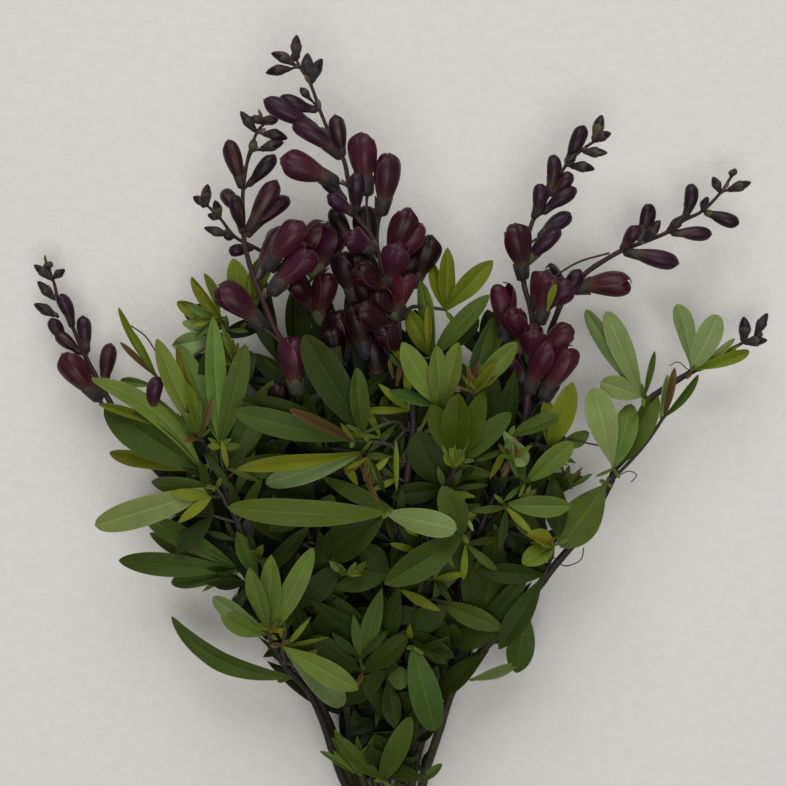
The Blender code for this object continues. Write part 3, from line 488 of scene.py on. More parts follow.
def ring(centre: Vector, radius: float, side: Vector, up: Vector, sides: int) -> list[Vector]:
    """Points on a circle in the plane of side and up."""
    angles = [2 * math.pi * s / sides for s in range(sides)]
    return [centre + radius * (math.cos(a) * side - math.sin(a) * up) for a in angles]


def rings_along(points: Sequence[Vector], radii: Sequence[float], sides: int) -> list[list[Vector]]:
    """Rings of points round a line, with a radius at each of its points."""
    return [ring(point, float(radius), side, up, sides) for point, radius, (_, side, up)
            in zip(points, radii, frames(points))]


@dataclass
class Layout:
    """Where each stem, flower, twig and leaf lies, by the rules that placed the plain solids.

    A solid takes the first height at which it is clear of the ones before it.  The tables give
    x and y as an eye straight above sees them, so a point that stands higher is drawn in.
    """

    eye_height: float = 1100.0
    seen_level: float = 45.0
    shift: Point = (-3.8, 91.4, 0.0)
    gap: float = 0.35
    clearance: float = 0.4
    lift_off: float = 0.02
    stem_radius: float = 2.8
    slot_pitch: float = 6.5
    row_rise: float = 5.7
    band_thick: float = 1.4
    band_width: float = 9.0
    tie_y: float = -268.0
    tie_run: float = 9.0
    cut_y: float = -372.0
    cut_stagger: float = 5.0
    cut_spread: float = 1.7
    cut_rise: float = 1.15
    stem_sides: int = 6
    stem_step: float = 19.0
    stem_taper: float = 1.6
    axis_step: float = 12.0
    axis_lead: float = 1.5
    axis_shoulder: float = 0.1
    axis_tip_radius: float = 0.8
    bud_sides: int = 5
    bud_share: float = 0.86
    bud_profile: tuple = ((0.0, 0.28), (0.3, 0.68), (0.62, 1.0), (0.87, 0.78))
    pedicel_radius: float = 0.75
    bud_clear: float = 0.1
    leaf_thick: float = 1.3
    leaf_sink: float = 0.6
    leaf_profile: tuple = ((0.0, 0.1), (0.32, 0.72), (0.62, 1.0), (0.86, 0.66))
    leaf_fold: float = 0.10
    leaf_arch: float = 0.10
    lowest_base: float = 4.0
    twig_sides: int = 5
    twig_radius: float = 1.25
    twig_taper: float = 0.35
    twig_knee: float = 2.4
    twig_step: float = 13.0
    twig_bows: tuple = (0.4, 0.1, 0.75, -0.2)
    holds_tried: int = 26
    first_stem_hold: int = 5
    below: float = 6.0
    above_charge: float = 0.7
    end_charge: float = 0.5
    end_reach: float = 3.0
    leaf_lifts: tuple = (0, 4, -4, 8, -8, 12, -12, 17, -17, 23, -23, 30, -30, 38)
    bud_lifts: tuple = (0, 3, -3, 6, -6, 9, -9, 13, -13, 18, -18)
    base_lifts: tuple = (0, 4, -4, 8, -8, 13, -13, 18, -18, 24, -24)
    thicket: Thicket = field(default_factory=Thicket)
    stems: dict[str, StemLine] = field(default_factory=dict)
    axes: dict[str, StemLine] = field(default_factory=dict)
    buds: dict[str, list[PlacedBud]] = field(default_factory=dict)
    shoots: dict[str, "LeafyShoot"] = field(default_factory=dict)

    def sight(self, x: float, y: float, z: float) -> Vector:
        """Where a point stands that is seen at x, y from above and lies z over the surface."""
        drawn_in = (self.eye_height - z) / (self.eye_height - self.seen_level)
        return Vector((x * drawn_in, y * drawn_in, z)) + Vector(self.shift)

    def plan(self, point: Vector) -> Pair:
        """Where a point is seen from above: the reverse of sight."""
        drawn_in = (self.eye_height - point.z) / (self.eye_height - self.seen_level)
        return (point.x - self.shift[0]) / drawn_in, (point.y - self.shift[1]) / drawn_in

    def slot_place(self, column: float, row: float) -> Pair:
        """Where a slot of the tie lies across the bunch: x and height."""
        lowest = self.stem_radius + self.gap + self.band_thick + self.lift_off
        return column * self.slot_pitch, lowest + row * self.row_rise

    def stem_knots(self, name: str) -> list[Vector]:
        """The points of a stem from its cut end to its top."""
        (column, row), _, above = STEMS[name]
        x, z = self.slot_place(column, row)
        shift = Vector(self.shift)
        in_tie = [Vector((x, self.tie_y + run, z)) + shift
                  for run in (-self.tie_run, 0, self.tie_run)]
        cut_y = self.cut_y + self.cut_stagger * math.sin(4 * column + row)
        cut_z = self.stem_radius + self.lift_off + row * self.row_rise * self.cut_rise
        cut = Vector((self.cut_spread * x, cut_y, cut_z)) + shift
        return [cut] + in_tie + [self.sight(*p) for p in above]

    def stem_line(self, name: str) -> StemLine:
        """Centre points and radii of a stem."""
        knots = self.stem_knots(name)
        line = smooth(knots + [self.sight(*p) for p in AXES.get(name, [])], self.stem_step)
        joint = min(range(len(line)), key=lambda i: (line[i] - knots[-1]).length)
        top = STEMS[name][1]
        radii = [self.stem_radius + (top - self.stem_radius) * (i / joint) ** self.stem_taper
                 for i in range(joint + 1)]
        return StemLine(line[:joint + 1], radii)

    def axis_line(self, name: str) -> StemLine:
        """Centre points and radii of a flower spike's axis, starting one gap above its stem."""
        below = self.stems[name].points
        away = (below[-1] - below[-2]).normalized()
        start = self.sight(*STEMS[name][2][-1]) + self.gap * away
        line = smooth([start] + [self.sight(*p) for p in AXES[name]], self.axis_step)
        line.insert(1, line[0] + self.axis_lead * away)
        radius = STEMS[name][1] - self.axis_shoulder
        last = len(line) - 1
        return StemLine(line, [radius + (self.axis_tip_radius - radius) * (i / last)
                               for i in range(last + 1)])

    def bud_shell(self, root: Vector, tip: Vector, stage: Stage, extra: float) -> Shell:
        """A stalk and the plain spindle at its end.

        Args:
            root: Where the stalk leaves its axis.
            tip: The end of the spindle.
            stage: How far the bud has come.
            extra: How much thicker than the plain solid it is made.

        Returns:
            The closed solid.
        """
        whole = (tip - root).length
        length = min(stage.length, self.bud_share * whole)
        along = (tip - root).normalized()
        stations = [(0.0, self.pedicel_radius)]
        stations += [(whole - length + t * length, stage.radius * share)
                     for t, share in self.bud_profile]
        _, side, up = frames([root, tip])[0]
        rings = [ring(root + along * reach, radius + extra, side, up, self.bud_sides)
                 for reach, radius in stations]
        return ring_shell(rings, tip + along * extra)

    def blade_shell(self, root: Vector, tip: Vector, width: float, extra: float = 0.0) -> Shell:
        """A plain leaf blade: folded along its midrib, arched, and never below the surface.

        Args:
            root: Its foot.
            tip: Its tip.
            width: Its width as it lies.
            extra: How much thicker than the plain solid it is made.

        Returns:
            The closed solid.
        """
        side, up = blade_frame(root, tip)
        crown = (root + tip) / 2 + 2 * self.leaf_arch * (tip - root).length * up
        half_thick = self.leaf_thick / 2 + extra
        rings = []
        for t, share in self.leaf_profile:
            point = bent(root, crown, tip, t)
            point.z = max(point.z, half_thick)
            half_wide = share * width / 2 + extra
            rise = self.leaf_fold * share * width * up
            rings.append([point + half_wide * side + rise, point - half_thick * up,
                          point - half_wide * side + rise, point + half_thick * up])
            for corner in rings[-1]:
                corner.z = max(corner.z, 0.0)
        return ring_shell(rings, tip)

    def grow(self) -> None:
        """Places the stems, the axes, the flowers and the shoots, one after the other."""
        for name in STEMS:
            self.stems[name] = self.stem_line(name)
            self.add_line("stem_" + name, self.stems[name])
        for name in AXES:
            self.axes[name] = self.axis_line(name)
            self.add_line("spike_" + name, self.axes[name])
        for name in AXES:
            self.buds[name] = [
                self.place_bud(name, (x, y), (tip_x, tip_y, lift), STAGES[stage])
                for x, y, tip_x, tip_y, lift, stage in BUDS[name]]
        for name, (base, tones, blades) in SHOOTS.items():
            owner = "leaves_" + name
            root, twig = self.place_twig(owner, base)
            self.shoots[name] = LeafyShoot(name, twig, [
                self.place_blade(owner, root, (x, y, lift), width, TONES[tone])
                for (x, y, lift, width), tone in zip(blades, tones)])

    def leafy_lines(self, step: float = 4.0) -> dict[str, list[list[Vector]]]:
        """The stems and the twigs that inner leaves can spring from."""
        lines = {name: [smooth(stem.points, step)] for name, stem in self.stems.items()}
        lines["twigs"] = [smooth(shoot.twig.points, step) for shoot in self.shoots.values()]
        return lines

    def add_line(self, owner: str, line: StemLine) -> None:
        """Keeps a stem's or an axis's plain tube."""
        rings = rings_along(line.points, line.radii, self.stem_sides)
        self.thicket.add(owner, ring_shell(rings))

    def settle(self, owner: str, places: Iterable[tuple[Any, Callable[[float], Shell]]]) -> Any:
        """Keeps the solid of the first place that is clear of the other pieces.

        Args:
            owner: The piece that the solid belongs to.
            places: Each place with a function that gives its solid, made thicker by a number.

        Returns:
            The place.
        """
        for place, shell in places:
            if not self.thicket.touches(owner, shell(self.clearance)):
                self.thicket.add(owner, shell(0.0))
                return place
        raise ValueError("no room left in " + owner)

    def place_bud(self, name: str, at: Pair, tip: Point,
                  stage: Stage) -> PlacedBud:
        """A bud at the first height of its tip that is clear of the other pieces.

        Args:
            name: The spike.
            at: Where it leaves the axis, x and y.
            tip: Its tip's x and y, and how far it stands above the axis.
            stage: How far it has come.

        Returns:
            The bud.
        """
        points = self.axes[name].points
        nearest = min(range(len(points)), key=lambda i: (
            points[i] - self.sight(*at, points[i].z)).length)
        root = points[nearest]
        axis = points[min(nearest + 1, len(points) - 1)] - points[max(nearest - 1, 0)]
        heights = [max(root.z + tip[2] + change, stage.radius + self.bud_clear)
                   for change in self.bud_lifts]
        ends = [self.sight(tip[0], tip[1], height) for height in heights]
        end = self.settle("spike_" + name, (
            (end, partial(self.bud_shell, root, end, stage)) for end in ends))
        return PlacedBud(root, end, stage, axis.normalized())

    def holds(self, base: Vector) -> list[Hold]:
        """Places on the stems that a shoot could leave from, the best first.

        Args:
            base: Where the shoot's leaflets spring from.

        Returns:
            For each its charge, the point, the stem's radius (0 at its end) and direction.
        """
        found = []
        lines = [(stem, self.first_stem_hold, len(stem.points)) for stem in self.stems.values()]
        lines += [(axis, 1, len(axis.points) // 2) for axis in self.axes.values()]
        for line, first, count in lines:
            for i in range(first, count - 1):
                point = line.points[i]
                along = (line.points[i + 1] - point).normalized()
                above = max(0.0, point.y - base.y + self.below)
                found.append(((base - point).length + self.above_charge * above,
                              point, line.radii[i], along))
        for name in [name for name in STEMS if name not in AXES]:
            before, tip = self.stems[name].points[-2:]
            along = (tip - before).normalized()
            if (base - tip).dot(along) > self.end_reach:
                found.append(((base - tip).length * self.end_charge, tip, 0.0, along))
        found.sort(key=lambda hold: hold[0])
        return found[:self.holds_tried]

    def twig_line(self, base: Vector, hold: Hold, bow: float, extra: float = 0.0) -> StemLine:
        """A twig from the side or the end of a stem to a shoot's base.

        Args:
            base: The shoot's base.
            hold: The place on the stem.
            bow: How far it leans along the stem, as a share of its length.
            extra: How much thicker than the plain solid it is made.

        Returns:
            Its points and radii.
        """
        _, point, radius, along = hold
        out = base - point
        if radius:
            out -= along * out.dot(along)
            out = out.normalized()
        else:
            out = along
        start = point + (radius + self.gap) * out
        knee = start + self.twig_knee * out
        bend = knee + bow * (base - knee).length * along
        count = max(2, round((base - knee).length / self.twig_step))
        line = [start] + [bent(knee, bend, base, i / count) for i in range(count + 1)]
        line.append(base + (base - line[-2]).normalized() * self.twig_radius)
        return StemLine(line, [self.twig_radius - self.twig_taper * i / len(line) + extra
                               for i in range(len(line))])

    def twig_shell(self, root: Vector, hold: Hold, bow: float, extra: float) -> Shell:
        """A twig's plain tube, made thicker by a number."""
        line = self.twig_line(root, hold, bow, extra)
        return ring_shell(rings_along(line.points, line.radii, self.twig_sides))

    def place_twig(self, owner: str, base: Point) -> tuple[Vector, StemLine]:
        """The base and the line of the first twig that is clear of the other pieces.

        Args:
            owner: The piece that it belongs to.
            base: Where its leaflets spring from, x, y and height.

        Returns:
            Its upper end and its line.
        """
        roots = [self.sight(base[0], base[1], max(base[2] + change, self.lowest_base))
                 for change in self.base_lifts]
        place = self.settle(owner, (
            ((root, hold, bow), partial(self.twig_shell, root, hold, bow))
            for root in roots for hold in self.holds(root) for bow in self.twig_bows))
        return place[0], self.twig_line(*place)

    def place_blade(self, owner: str, root: Vector, tip: Point, width: float,
                    tone: Tone) -> "Blade":
        """A blade at the first height of its tip that is clear of the other pieces.

        Args:
            owner: The piece that it belongs to.
            root: Where it springs from.
            tip: Its tip's x and y, and how far it stands above its root.
            width: Its width as it lies.
            tone: Its tone.

        Returns:
            The blade.
        """
        ends = [self.sight(tip[0], tip[1], max(root.z + tip[2] + change, 0.0))
                for change in self.leaf_lifts]
        starts = [root - (end - root).normalized() * self.leaf_sink for end in ends]
        place = self.settle(owner, (
            (span, partial(self.blade_shell, *span, width)) for span in zip(starts, ends)))
        return Blade(*place, width, tone)


def joined(operation: str, swapped: bool = False) -> Callable[["Value", Any], "Value"]:
    """The method for one of Python's operators.

    Args:
        operation: What the Math node does.
        swapped: True where the other value comes first.

    Returns:
        The method.
    """
    def method(value: "Value", other: Any) -> "Value":
        """The result of the operator."""
        return value.maths(operation, *((other, value) if swapped else (value, other)))
    return method


class Value:
    """A number that varies over a surface: a socket that Python's operators work on."""

    def __init__(self, graph: "Graph", socket: Socket) -> None:
        """Wraps a socket of the graph's nodes."""
        self.graph, self.socket = graph, socket

    def maths(self, operation: str, *values: Any) -> "Value":
        """The result of a Math node for these values."""
        return self.graph.value("ShaderNodeMath", dict(enumerate(values)), operation=operation)

    __add__, __radd__ = joined("ADD"), joined("ADD", swapped=True)
    __sub__, __rsub__ = joined("SUBTRACT"), joined("SUBTRACT", swapped=True)
    __mul__, __rmul__ = joined("MULTIPLY"), joined("MULTIPLY", swapped=True)

    def __abs__(self) -> "Value":
        """Self without its sign."""
        return self.maths("ABSOLUTE", self)

    def fraction(self) -> "Value":
        """What is left over the whole number below."""
        return self.maths("FRACT", self)

    def between(self, low: float, high: float) -> "Value":
        """0 at low and 1 at high, eased between them and held outside them."""
        return self.graph.value("ShaderNodeMapRange", {
            "Value": self, "From Min": low, "From Max": high}, interpolation_type="SMOOTHSTEP")


class Graph:
    """A material's nodes, made from Python."""

    def __init__(self, name: str, **constants: float) -> None:
        """Starts the material.

        Args:
            name: Its name.
            constants: Values of the shader's sockets, by their names in small letters.
        """
        self.material = bpy.data.materials.new(name)
        self.material.use_nodes = True
        self.tree = self.material.node_tree
        self.tree.nodes.clear()
        self.shader = self.node("ShaderNodeBsdfPrincipled", {
            key.replace("_", " ").title().replace("Ior", "IOR"): value
            for key, value in constants.items()})
        self.node("ShaderNodeOutputMaterial", {"Surface": self.shader.outputs["BSDF"]})

    def node(self, kind: str, inputs: dict[Any, Any], **settings: str) -> bpy.types.Node:
        """Adds a node.

        Args:
            kind: The node's type.
            inputs: A number, a colour, a Value or a socket for each of its sockets.
            settings: Its own settings, which are set first.

        Returns:
            The node.
        """
        node = self.tree.nodes.new(kind)
        for key, setting in settings.items():
            setattr(node, key, setting)
        self.feed(node, inputs)
        return node

    def feed(self, node: bpy.types.Node, inputs: dict[Any, Any]) -> None:
        """Links or sets a node's sockets."""
        for key, given in inputs.items():
            socket = node.inputs[key]
            given = given.socket if isinstance(given, Value) else given
            if isinstance(given, Socket):
                self.tree.links.new(given, socket)
            elif isinstance(given, tuple) and socket.type == "RGBA":
                socket.default_value = (*given, 1.0)
            else:
                socket.default_value = given

    def value(self, kind: str, inputs: dict[Any, Any], **settings: str) -> Value:
        """The first output of a new node, as a Value."""
        return Value(self, self.node(kind, inputs, **settings).outputs[0])

    def read(self, *names: str) -> list[Value]:
        """What the mesh holds under these names at each point."""
        nodes = [self.node("ShaderNodeAttribute", {}, attribute_name=name) for name in names]
        return [Value(self, node.outputs["Fac"]) for node in nodes]

    def tint(self) -> Socket:
        """The colour that the mesh holds at each point."""
        return self.node("ShaderNodeAttribute", {}, attribute_name="tint").outputs["Color"]

    def vector(self, x: Any, y: Any, z: Any) -> Socket:
        """A vector of three values."""
        return self.node("ShaderNodeCombineXYZ", {0: x, 1: y, 2: z}).outputs[0]

    def noise(self, scale: float, detail: float = 3.0, at: Any = None) -> Value:
        """Noise of about 0 to 1: at a vector, or at the object's own coordinates."""
        if at is None:
            at = self.node("ShaderNodeTexCoord", {}).outputs["Object"]
        return self.value("ShaderNodeTexNoise", {
            "Vector": at, "Scale": scale, "Detail": detail, "Roughness": 0.55})

    def mix(self, factor: Any, one: Any, other: Any) -> Socket:
        """One colour turning into the other as factor goes from 0 to 1."""
        return self.node("ShaderNodeMix", {0: factor, 6: one, 7: other},
                         data_type="RGBA").outputs[2]

    def scaled(self, colour: Any, by: Any) -> Socket:
        """A colour made lighter or darker."""
        return self.node("ShaderNodeVectorMath", {0: colour, "Scale": by},
                         operation="SCALE").outputs[0]

    def finish(self, colour: Any, roughness: Any, height: Any,
               depth_mm: float) -> Material:
        """Feeds the shader and gives the material.

        Args:
            colour: Base colour.
            roughness: Roughness.
            height: Relief of about 0 to 1.
            depth_mm: What a height of 1 is worth.

        Returns:
            The finished material.
        """
        bump = self.node("ShaderNodeBump", {"Height": height, "Distance": depth_mm * MM})
        self.feed(self.shader, {
            "Base Color": colour, "Roughness": roughness, "Normal": bump.outputs[0]})
        return self.material


@dataclass(frozen=True)
class LeafFinish:
    """Smooth leaf: a fine net of veins, a pale midrib, mottling and a paler underside."""

    vein_pairs: float = 11.0
    vein_slant: float = 2.4
    underside: Colour = (0.10, 0.135, 0.055)
    aged: Colour = (0.15, 0.10, 0.020)

    def make(self) -> Material:
        """The material."""
        g = Graph("leaf", specular_ior_level=0.10)
        across, along, rim, under, glow = g.read("across", "along", "rim", "under", "glow")
        across = abs(across)
        mottle = g.noise(70.0, 4.0)
        grain = g.noise(900.0, 2.0)
        course = along * self.vein_pairs - across * self.vein_slant + mottle * 0.7
        vein = abs(course.fraction() - 0.5).between(0.36, 0.5) * across.between(1.0, 0.7)
        midrib = across.between(0.1, 0.03)
        light = 0.68 + 0.6 * mottle + 0.08 * grain - 0.04 * vein + 0.3 * midrib
        colour = g.scaled(g.tint(), light + rim.between(0.9, 1.0) * 0.3)
        colour = g.mix(under * 0.5, colour, self.underside)
        colour = g.mix(glow * (0.55 + 0.6 * mottle), colour, self.aged)
        return g.finish(colour, 0.38 + 0.16 * grain + 0.16 * mottle,
                        grain * 0.35 - vein * 0.18 - midrib * 0.4, 0.14)


@dataclass(frozen=True)
class PetalFinish:
    """Satin petal: dark streaks along it, a lighter rim that is partly the petal's own pink edge and
    partly painted highlight, and a tan claw or fold.
    """

    # The rim colour is partly the petal's own pink edge and partly a painted highlight
    rim: Colour = (0.16, 0.045, 0.065)
    claw: Colour = (0.30, 0.22, 0.06)

    def make(self) -> Material:
        """The material."""
        g = Graph("petal", specular_ior_level=0.20, sheen_weight=0.02, sheen_roughness=0.35)
        across, along, phase, rim, glow = g.read("across", "along", "phase", "rim", "glow")
        streak = g.noise(1.0, 3.0, g.vector(across * 9.0 + phase, along * 1.3 + phase, phase))
        cloud = g.noise(140.0, 3.0)
        colour = g.scaled(g.tint(), 1.5 * streak + 0.8 * cloud - 0.1)
        # Lighter rim: partly the petal's own pink edge, partly painted highlight
        colour = g.mix(rim.between(0.9, 1.0) * 0.5, colour, self.rim)
        colour = g.mix(glow * (0.35 + streak), colour, self.claw)
        return g.finish(colour, 0.28 + 0.22 * cloud, streak, 0.16)


@dataclass(frozen=True)
class HuskFinish:
    """Dusky calyx, bract and stalk: matt, finely ribbed, darker towards its foot."""

    dust: Colour = (0.055, 0.046, 0.044)
    tan: Colour = (0.2, 0.15, 0.06)

    def make(self) -> Material:
        """The material."""
        g = Graph("husk", specular_ior_level=0.3, sheen_weight=0.05)
        across, along, phase, glow = g.read("across", "along", "phase", "glow")
        rib = g.noise(1.0, 2.0, g.vector(across * 16.0 + phase, along * 2.0, phase))
        cloud = g.noise(220.0, 3.0)
        colour = g.scaled(g.tint(), 0.45 + 0.6 * rib + 0.4 * cloud)
        colour = g.mix(cloud.between(0.42, 0.75) * 0.4, colour, self.dust)
        colour = g.mix(glow, colour, self.tan)
        return g.finish(colour, 0.5 + 0.2 * cloud, rib, 0.1)


@dataclass(frozen=True)
class StemFinish:
    """Smooth stem: long streaks, a thin bloom and small pale specks."""

    bloom: Colour = (0.026, 0.019, 0.019)
    speck: Colour = (0.12, 0.10, 0.07)
    pith: Colour = (0.42, 0.44, 0.25)

    def make(self) -> Material:
        """The material."""
        g = Graph("stem", specular_ior_level=0.25)
        across, along, phase, glow = g.read("across", "along", "phase", "glow")
        streak = g.noise(1.0, 3.0, g.vector(across * 5.0 + phase, along * 14.0, phase))
        speck = g.noise(520.0, 2.0)
        colour = g.scaled(g.tint(), 0.55 + 0.7 * streak + 0.2 * speck)
        colour = g.mix(g.noise(60.0, 3.0).between(0.45, 0.8) * 0.5, colour, self.bloom)
        colour = g.mix(speck.between(0.66, 0.74) * 0.3, colour, self.speck)
        colour = g.mix(glow, colour, self.pith)
        return g.finish(colour, 0.42 + 0.25 * speck, streak + speck * 0.4, 0.12)


@dataclass(frozen=True)
class BandFinish:
    """Natural rubber: tan, slightly waxy, with moulding lines and dust."""

    dust: Colour = (0.62, 0.5, 0.36)

    def make(self) -> Material:
        """The material."""
        g = Graph("rubber_band", specular_ior_level=0.45)
        cloud, dust = g.noise(160.0, 4.0), g.noise(1500.0, 2.0)
        across, = g.read("across")
        line = abs((across * 6.0).fraction() - 0.5)
        colour = g.scaled(g.tint(), 0.7 + 0.5 * cloud)
        colour = g.mix(dust.between(0.6, 0.8) * 0.35, colour, self.dust)
        return g.finish(colour, 0.5 + 0.2 * cloud, line * 0.5 + dust * 0.5, 0.08)


@dataclass(frozen=True)
class FloorFinish:
    """Plain pale paint with a barely uneven face."""

    paint: Colour = (0.70, 0.685, 0.655)
    patches: Colour = (0.67, 0.66, 0.64)

    def make(self) -> Material:
        """The material."""
        g = Graph("floor", specular_ior_level=0.3)
        grain, patch = g.noise(150.0, 3.0), g.noise(3.0, 2.0)
        colour = g.scaled(g.mix(patch, self.paint, self.patches), 0.95 + 0.1 * grain)
        return g.finish(colour, 0.6 + 0.15 * patch, grain, 0.4)


@dataclass
class Look:
    """A body's colour (or each point's), what sets its pattern apart, and which finish it has."""

    tint: Colour | Array
    phase: float
    slot: int


@dataclass
class Surface:
    """Points and faces, with the look and what else the finishes read at each point."""

    points: Array
    faces: list[list[int]]
    values: dict[str, Array]
    look: Look


SHARP_ANGLE = math.radians(52)
READ = ("across", "along", "rim", "under", "glow", "phase")


def cells(index: Array) -> Array:
    """The four corners of each cell in a grid of point numbers, one cell to a row."""
    corners = index[:-1, :-1], index[:-1, 1:], index[1:, 1:], index[1:, :-1]
    return np.stack(corners, axis=-1).reshape(-1, 4)


def sheet_normals(sheet: Array) -> Array:
    """The unit normal at each point of a grid of points."""
    normal = np.cross(np.gradient(sheet, axis=1), np.gradient(sheet, axis=0))
    return normal / np.maximum(np.linalg.norm(normal, axis=2, keepdims=True), 1e-9)


def thin_shell(top: Array, bottom: Array, values: dict[str, Array], look: Look,
               closed: bool = False) -> Surface:
    """A closed thin body between two grids of points.

    Args:
        top: Upper or outer points, rows by columns by 3.
        bottom: Lower or inner points, of the same shape.
        values: For some of the finishes' names, a grid of rows by columns.
        look: Its look.
        closed: True where the last column joins the first.

    Returns:
        The surface.
    """
    rows, cols = top.shape[:2]
    count = rows * cols
    index = np.arange(count).reshape(rows, cols)
    edges = [(index[:-1, -1], index[1:, -1]), (index[1:, 0], index[:-1, 0])]
    if closed:
        index = np.pad(index, ((0, 0), (0, 1)), mode="wrap")
        edges = []
    edges = [(index[0, :-1], index[0, 1:]), (index[-1, 1:], index[-1, :-1])] + edges
    faces = [cells(index), cells(index)[:, ::-1] + count]
    for start, end in edges:
        faces.append(np.stack([end, start, start + count, end + count], axis=1))
    doubled = {name: np.tile(grid.ravel(), 2) for name, grid in values.items()}
    doubled["under"] = np.repeat((0.0, 1.0), count)
    points = np.concatenate([top.reshape(-1, 3), bottom.reshape(-1, 3)])
    return Surface(points, np.concatenate(faces).tolist(), doubled, look)


def solid_round(rings: Array, values: dict[str, Array], look: Look) -> Surface:
    """A closed round body through rings of points, with flat ends.

    Args:
        rings: Rows of rings by columns by 3.
        values: For some of the finishes' names, a grid of rows by columns.
        look: Its look.

    Returns:
        The surface.
    """
    rows, cols = rings.shape[:2]
    index = np.arange(rows * cols).reshape(rows, cols)
    faces = cells(np.pad(index, ((0, 0), (0, 1)), mode="wrap")).tolist()
    faces += [index[0, ::-1].tolist(), index[-1].tolist()]
    flat = {name: grid.ravel() for name, grid in values.items()}
    return Surface(rings.reshape(-1, 3), faces, flat, look)


def walk(points: Sequence[Vector]) -> Array:
    """The distance walked along a line at each of its points."""
    return np.cumsum([0.0] + [(b - a).length for a, b in zip(points, points[1:])])


def tube(points: Sequence[Vector], radii: Sequence[float], sides: int, look: Look) -> Surface:
    """A closed round tube, with its length in metres as the value along it.

    Args:
        points: Its middle line.
        radii: The radius at each point.
        sides: How many sides it has.
        look: Its look.

    Returns:
        The surface.
    """
    along = np.repeat(walk(points)[:, None] * MM, sides, axis=1)
    across = np.tile(np.cos(2 * np.pi * np.arange(sides) / sides), (len(points), 1))
    rings = np.array(rings_along(points, radii, sides))
    return solid_round(rings, {"along": along, "across": across}, look)


def eased(knots: Sequence[Pair], at: Array) -> Array:
    """A smooth curve through knots, read at places between them.

    Args:
        knots: Place and value, with the places rising.
        at: The places to read.

    Returns:
        The values there.
    """
    x = np.array([k[0] for k in knots])
    y = np.array([k[1] for k in knots])
    slope = np.gradient(y, x)
    i = np.clip(np.searchsorted(x, at, side="right") - 1, 0, len(x) - 2)
    span = x[i + 1] - x[i]
    t = np.clip((at - x[i]) / span, 0.0, 1.0)
    return ((2 * t ** 3 - 3 * t ** 2 + 1) * y[i] + (t ** 3 - 2 * t ** 2 + t) * span * slope[i]
            + (3 * t ** 2 - 2 * t ** 3) * y[i + 1] + (t ** 3 - t ** 2) * span * slope[i + 1])


def put(name: str, data: bpy.types.ID) -> bpy.types.Object:
    """Puts a new object for a mesh, a light or a camera in the scene."""
    thing = bpy.data.objects.new(name, data)
    bpy.context.scene.collection.objects.link(thing)
    return thing


class Piece:
    """Gathers the surfaces of one visual piece and makes its object."""

    def __init__(self, name: str, finishes: Finishes) -> None:
        """Starts an empty piece."""
        self.name = name
        self.finishes = list(finishes)
        self.surfaces: list[Surface] = []

    def add(self, *surfaces: Surface) -> None:
        """Adds surfaces to the piece."""
        self.surfaces += surfaces

    def make(self, slot: str, replaced: Sequence[str] = ()) -> bpy.types.Object:
        """Builds the mesh, rides it on the bunch and reports it.

        Args:
            slot: The material slot of the piece; not used.
            replaced: The plain solids that the piece stands for.

        Returns:
            The object.
        """
        starts = np.cumsum([0] + [len(s.points) for s in self.surfaces])
        faces = [tuple(i + int(start) for i in face)
                 for surface, start in zip(self.surfaces, starts) for face in surface.faces]
        mesh = bpy.data.meshes.new(self.name)
        points = np.concatenate([s.points for s in self.surfaces]) * MM
        mesh.from_pydata(points.tolist(), [], faces)
        for finish in self.finishes:
            mesh.materials.append(finish)
        slots = np.concatenate([np.full(len(s.faces), s.look.slot) for s in self.surfaces])
        mesh.polygons.foreach_set("material_index", slots.astype(np.int32))
        mesh.polygons.foreach_set("use_smooth", np.ones(len(faces), bool))
        for surface in self.surfaces:
            surface.values["phase"] = surface.look.phase
        for name in READ:
            values = [np.broadcast_to(s.values.get(name, 0.0), len(s.points))
                      for s in self.surfaces]
            attribute = mesh.attributes.new(name, "FLOAT", "POINT")
            attribute.data.foreach_set("value", np.concatenate(values).astype(np.float32))
        tints = [np.broadcast_to(s.look.tint, s.points.shape) for s in self.surfaces]
        attribute = mesh.attributes.new("tint", "FLOAT_COLOR", "POINT")
        attribute.data.foreach_set("color", np.insert(np.concatenate(tints), 3, 1.0, axis=1).ravel())
        mesh.update()
        mesh.set_sharp_from_angle(angle=SHARP_ANGLE)
        piece = put(self.name, mesh)
        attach(piece, "root")
        if replaced:
            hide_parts(*replaced)
        LOG.info("%s: %d faces", self.name, len(faces))
        return piece


class SubAssembly:
    """A part of the bunch that becomes one visual piece.

    The piece is called title + name, and it stands for the plain solid called solid + name.
    """

    slot = "leaf"
    solid = ""

    def build(self, finishes: Finishes, seed: int) -> bpy.types.Object:
        """Makes the piece.

        Args:
            finishes: Its materials, in the order that the surfaces' slots count them.
            seed: What its small differences follow from.

        Returns:
            The object.
        """
        piece = Piece(self.title + self.name, finishes)
        self.fill(piece, np.random.default_rng(seed))
        return piece.make(self.slot, [self.solid + self.name] if self.solid else [])

    def fill(self, piece: Piece, rng: Rng) -> None:
        """Adds the surfaces.

        Args:
            piece: What gathers them.
            rng: Source of their small differences.
        """
        raise NotImplementedError


def varied(colour: Colour, rng: Rng, spread: float = 0.12) -> Colour:
    """A colour a little lighter or darker, warmer or cooler than the one given.

    Args:
        colour: The usual colour.
        rng: Source of the difference.
        spread: How much lighter or darker it often is.

    Returns:
        The colour.
    """
    light = min(max(1 + spread * rng.normal(), 0.6), 1.5)
    warm = 0.5 * spread * rng.normal()
    return colour[0] * light * (1 + warm), colour[1] * light, colour[2] * light * (1 - warm)


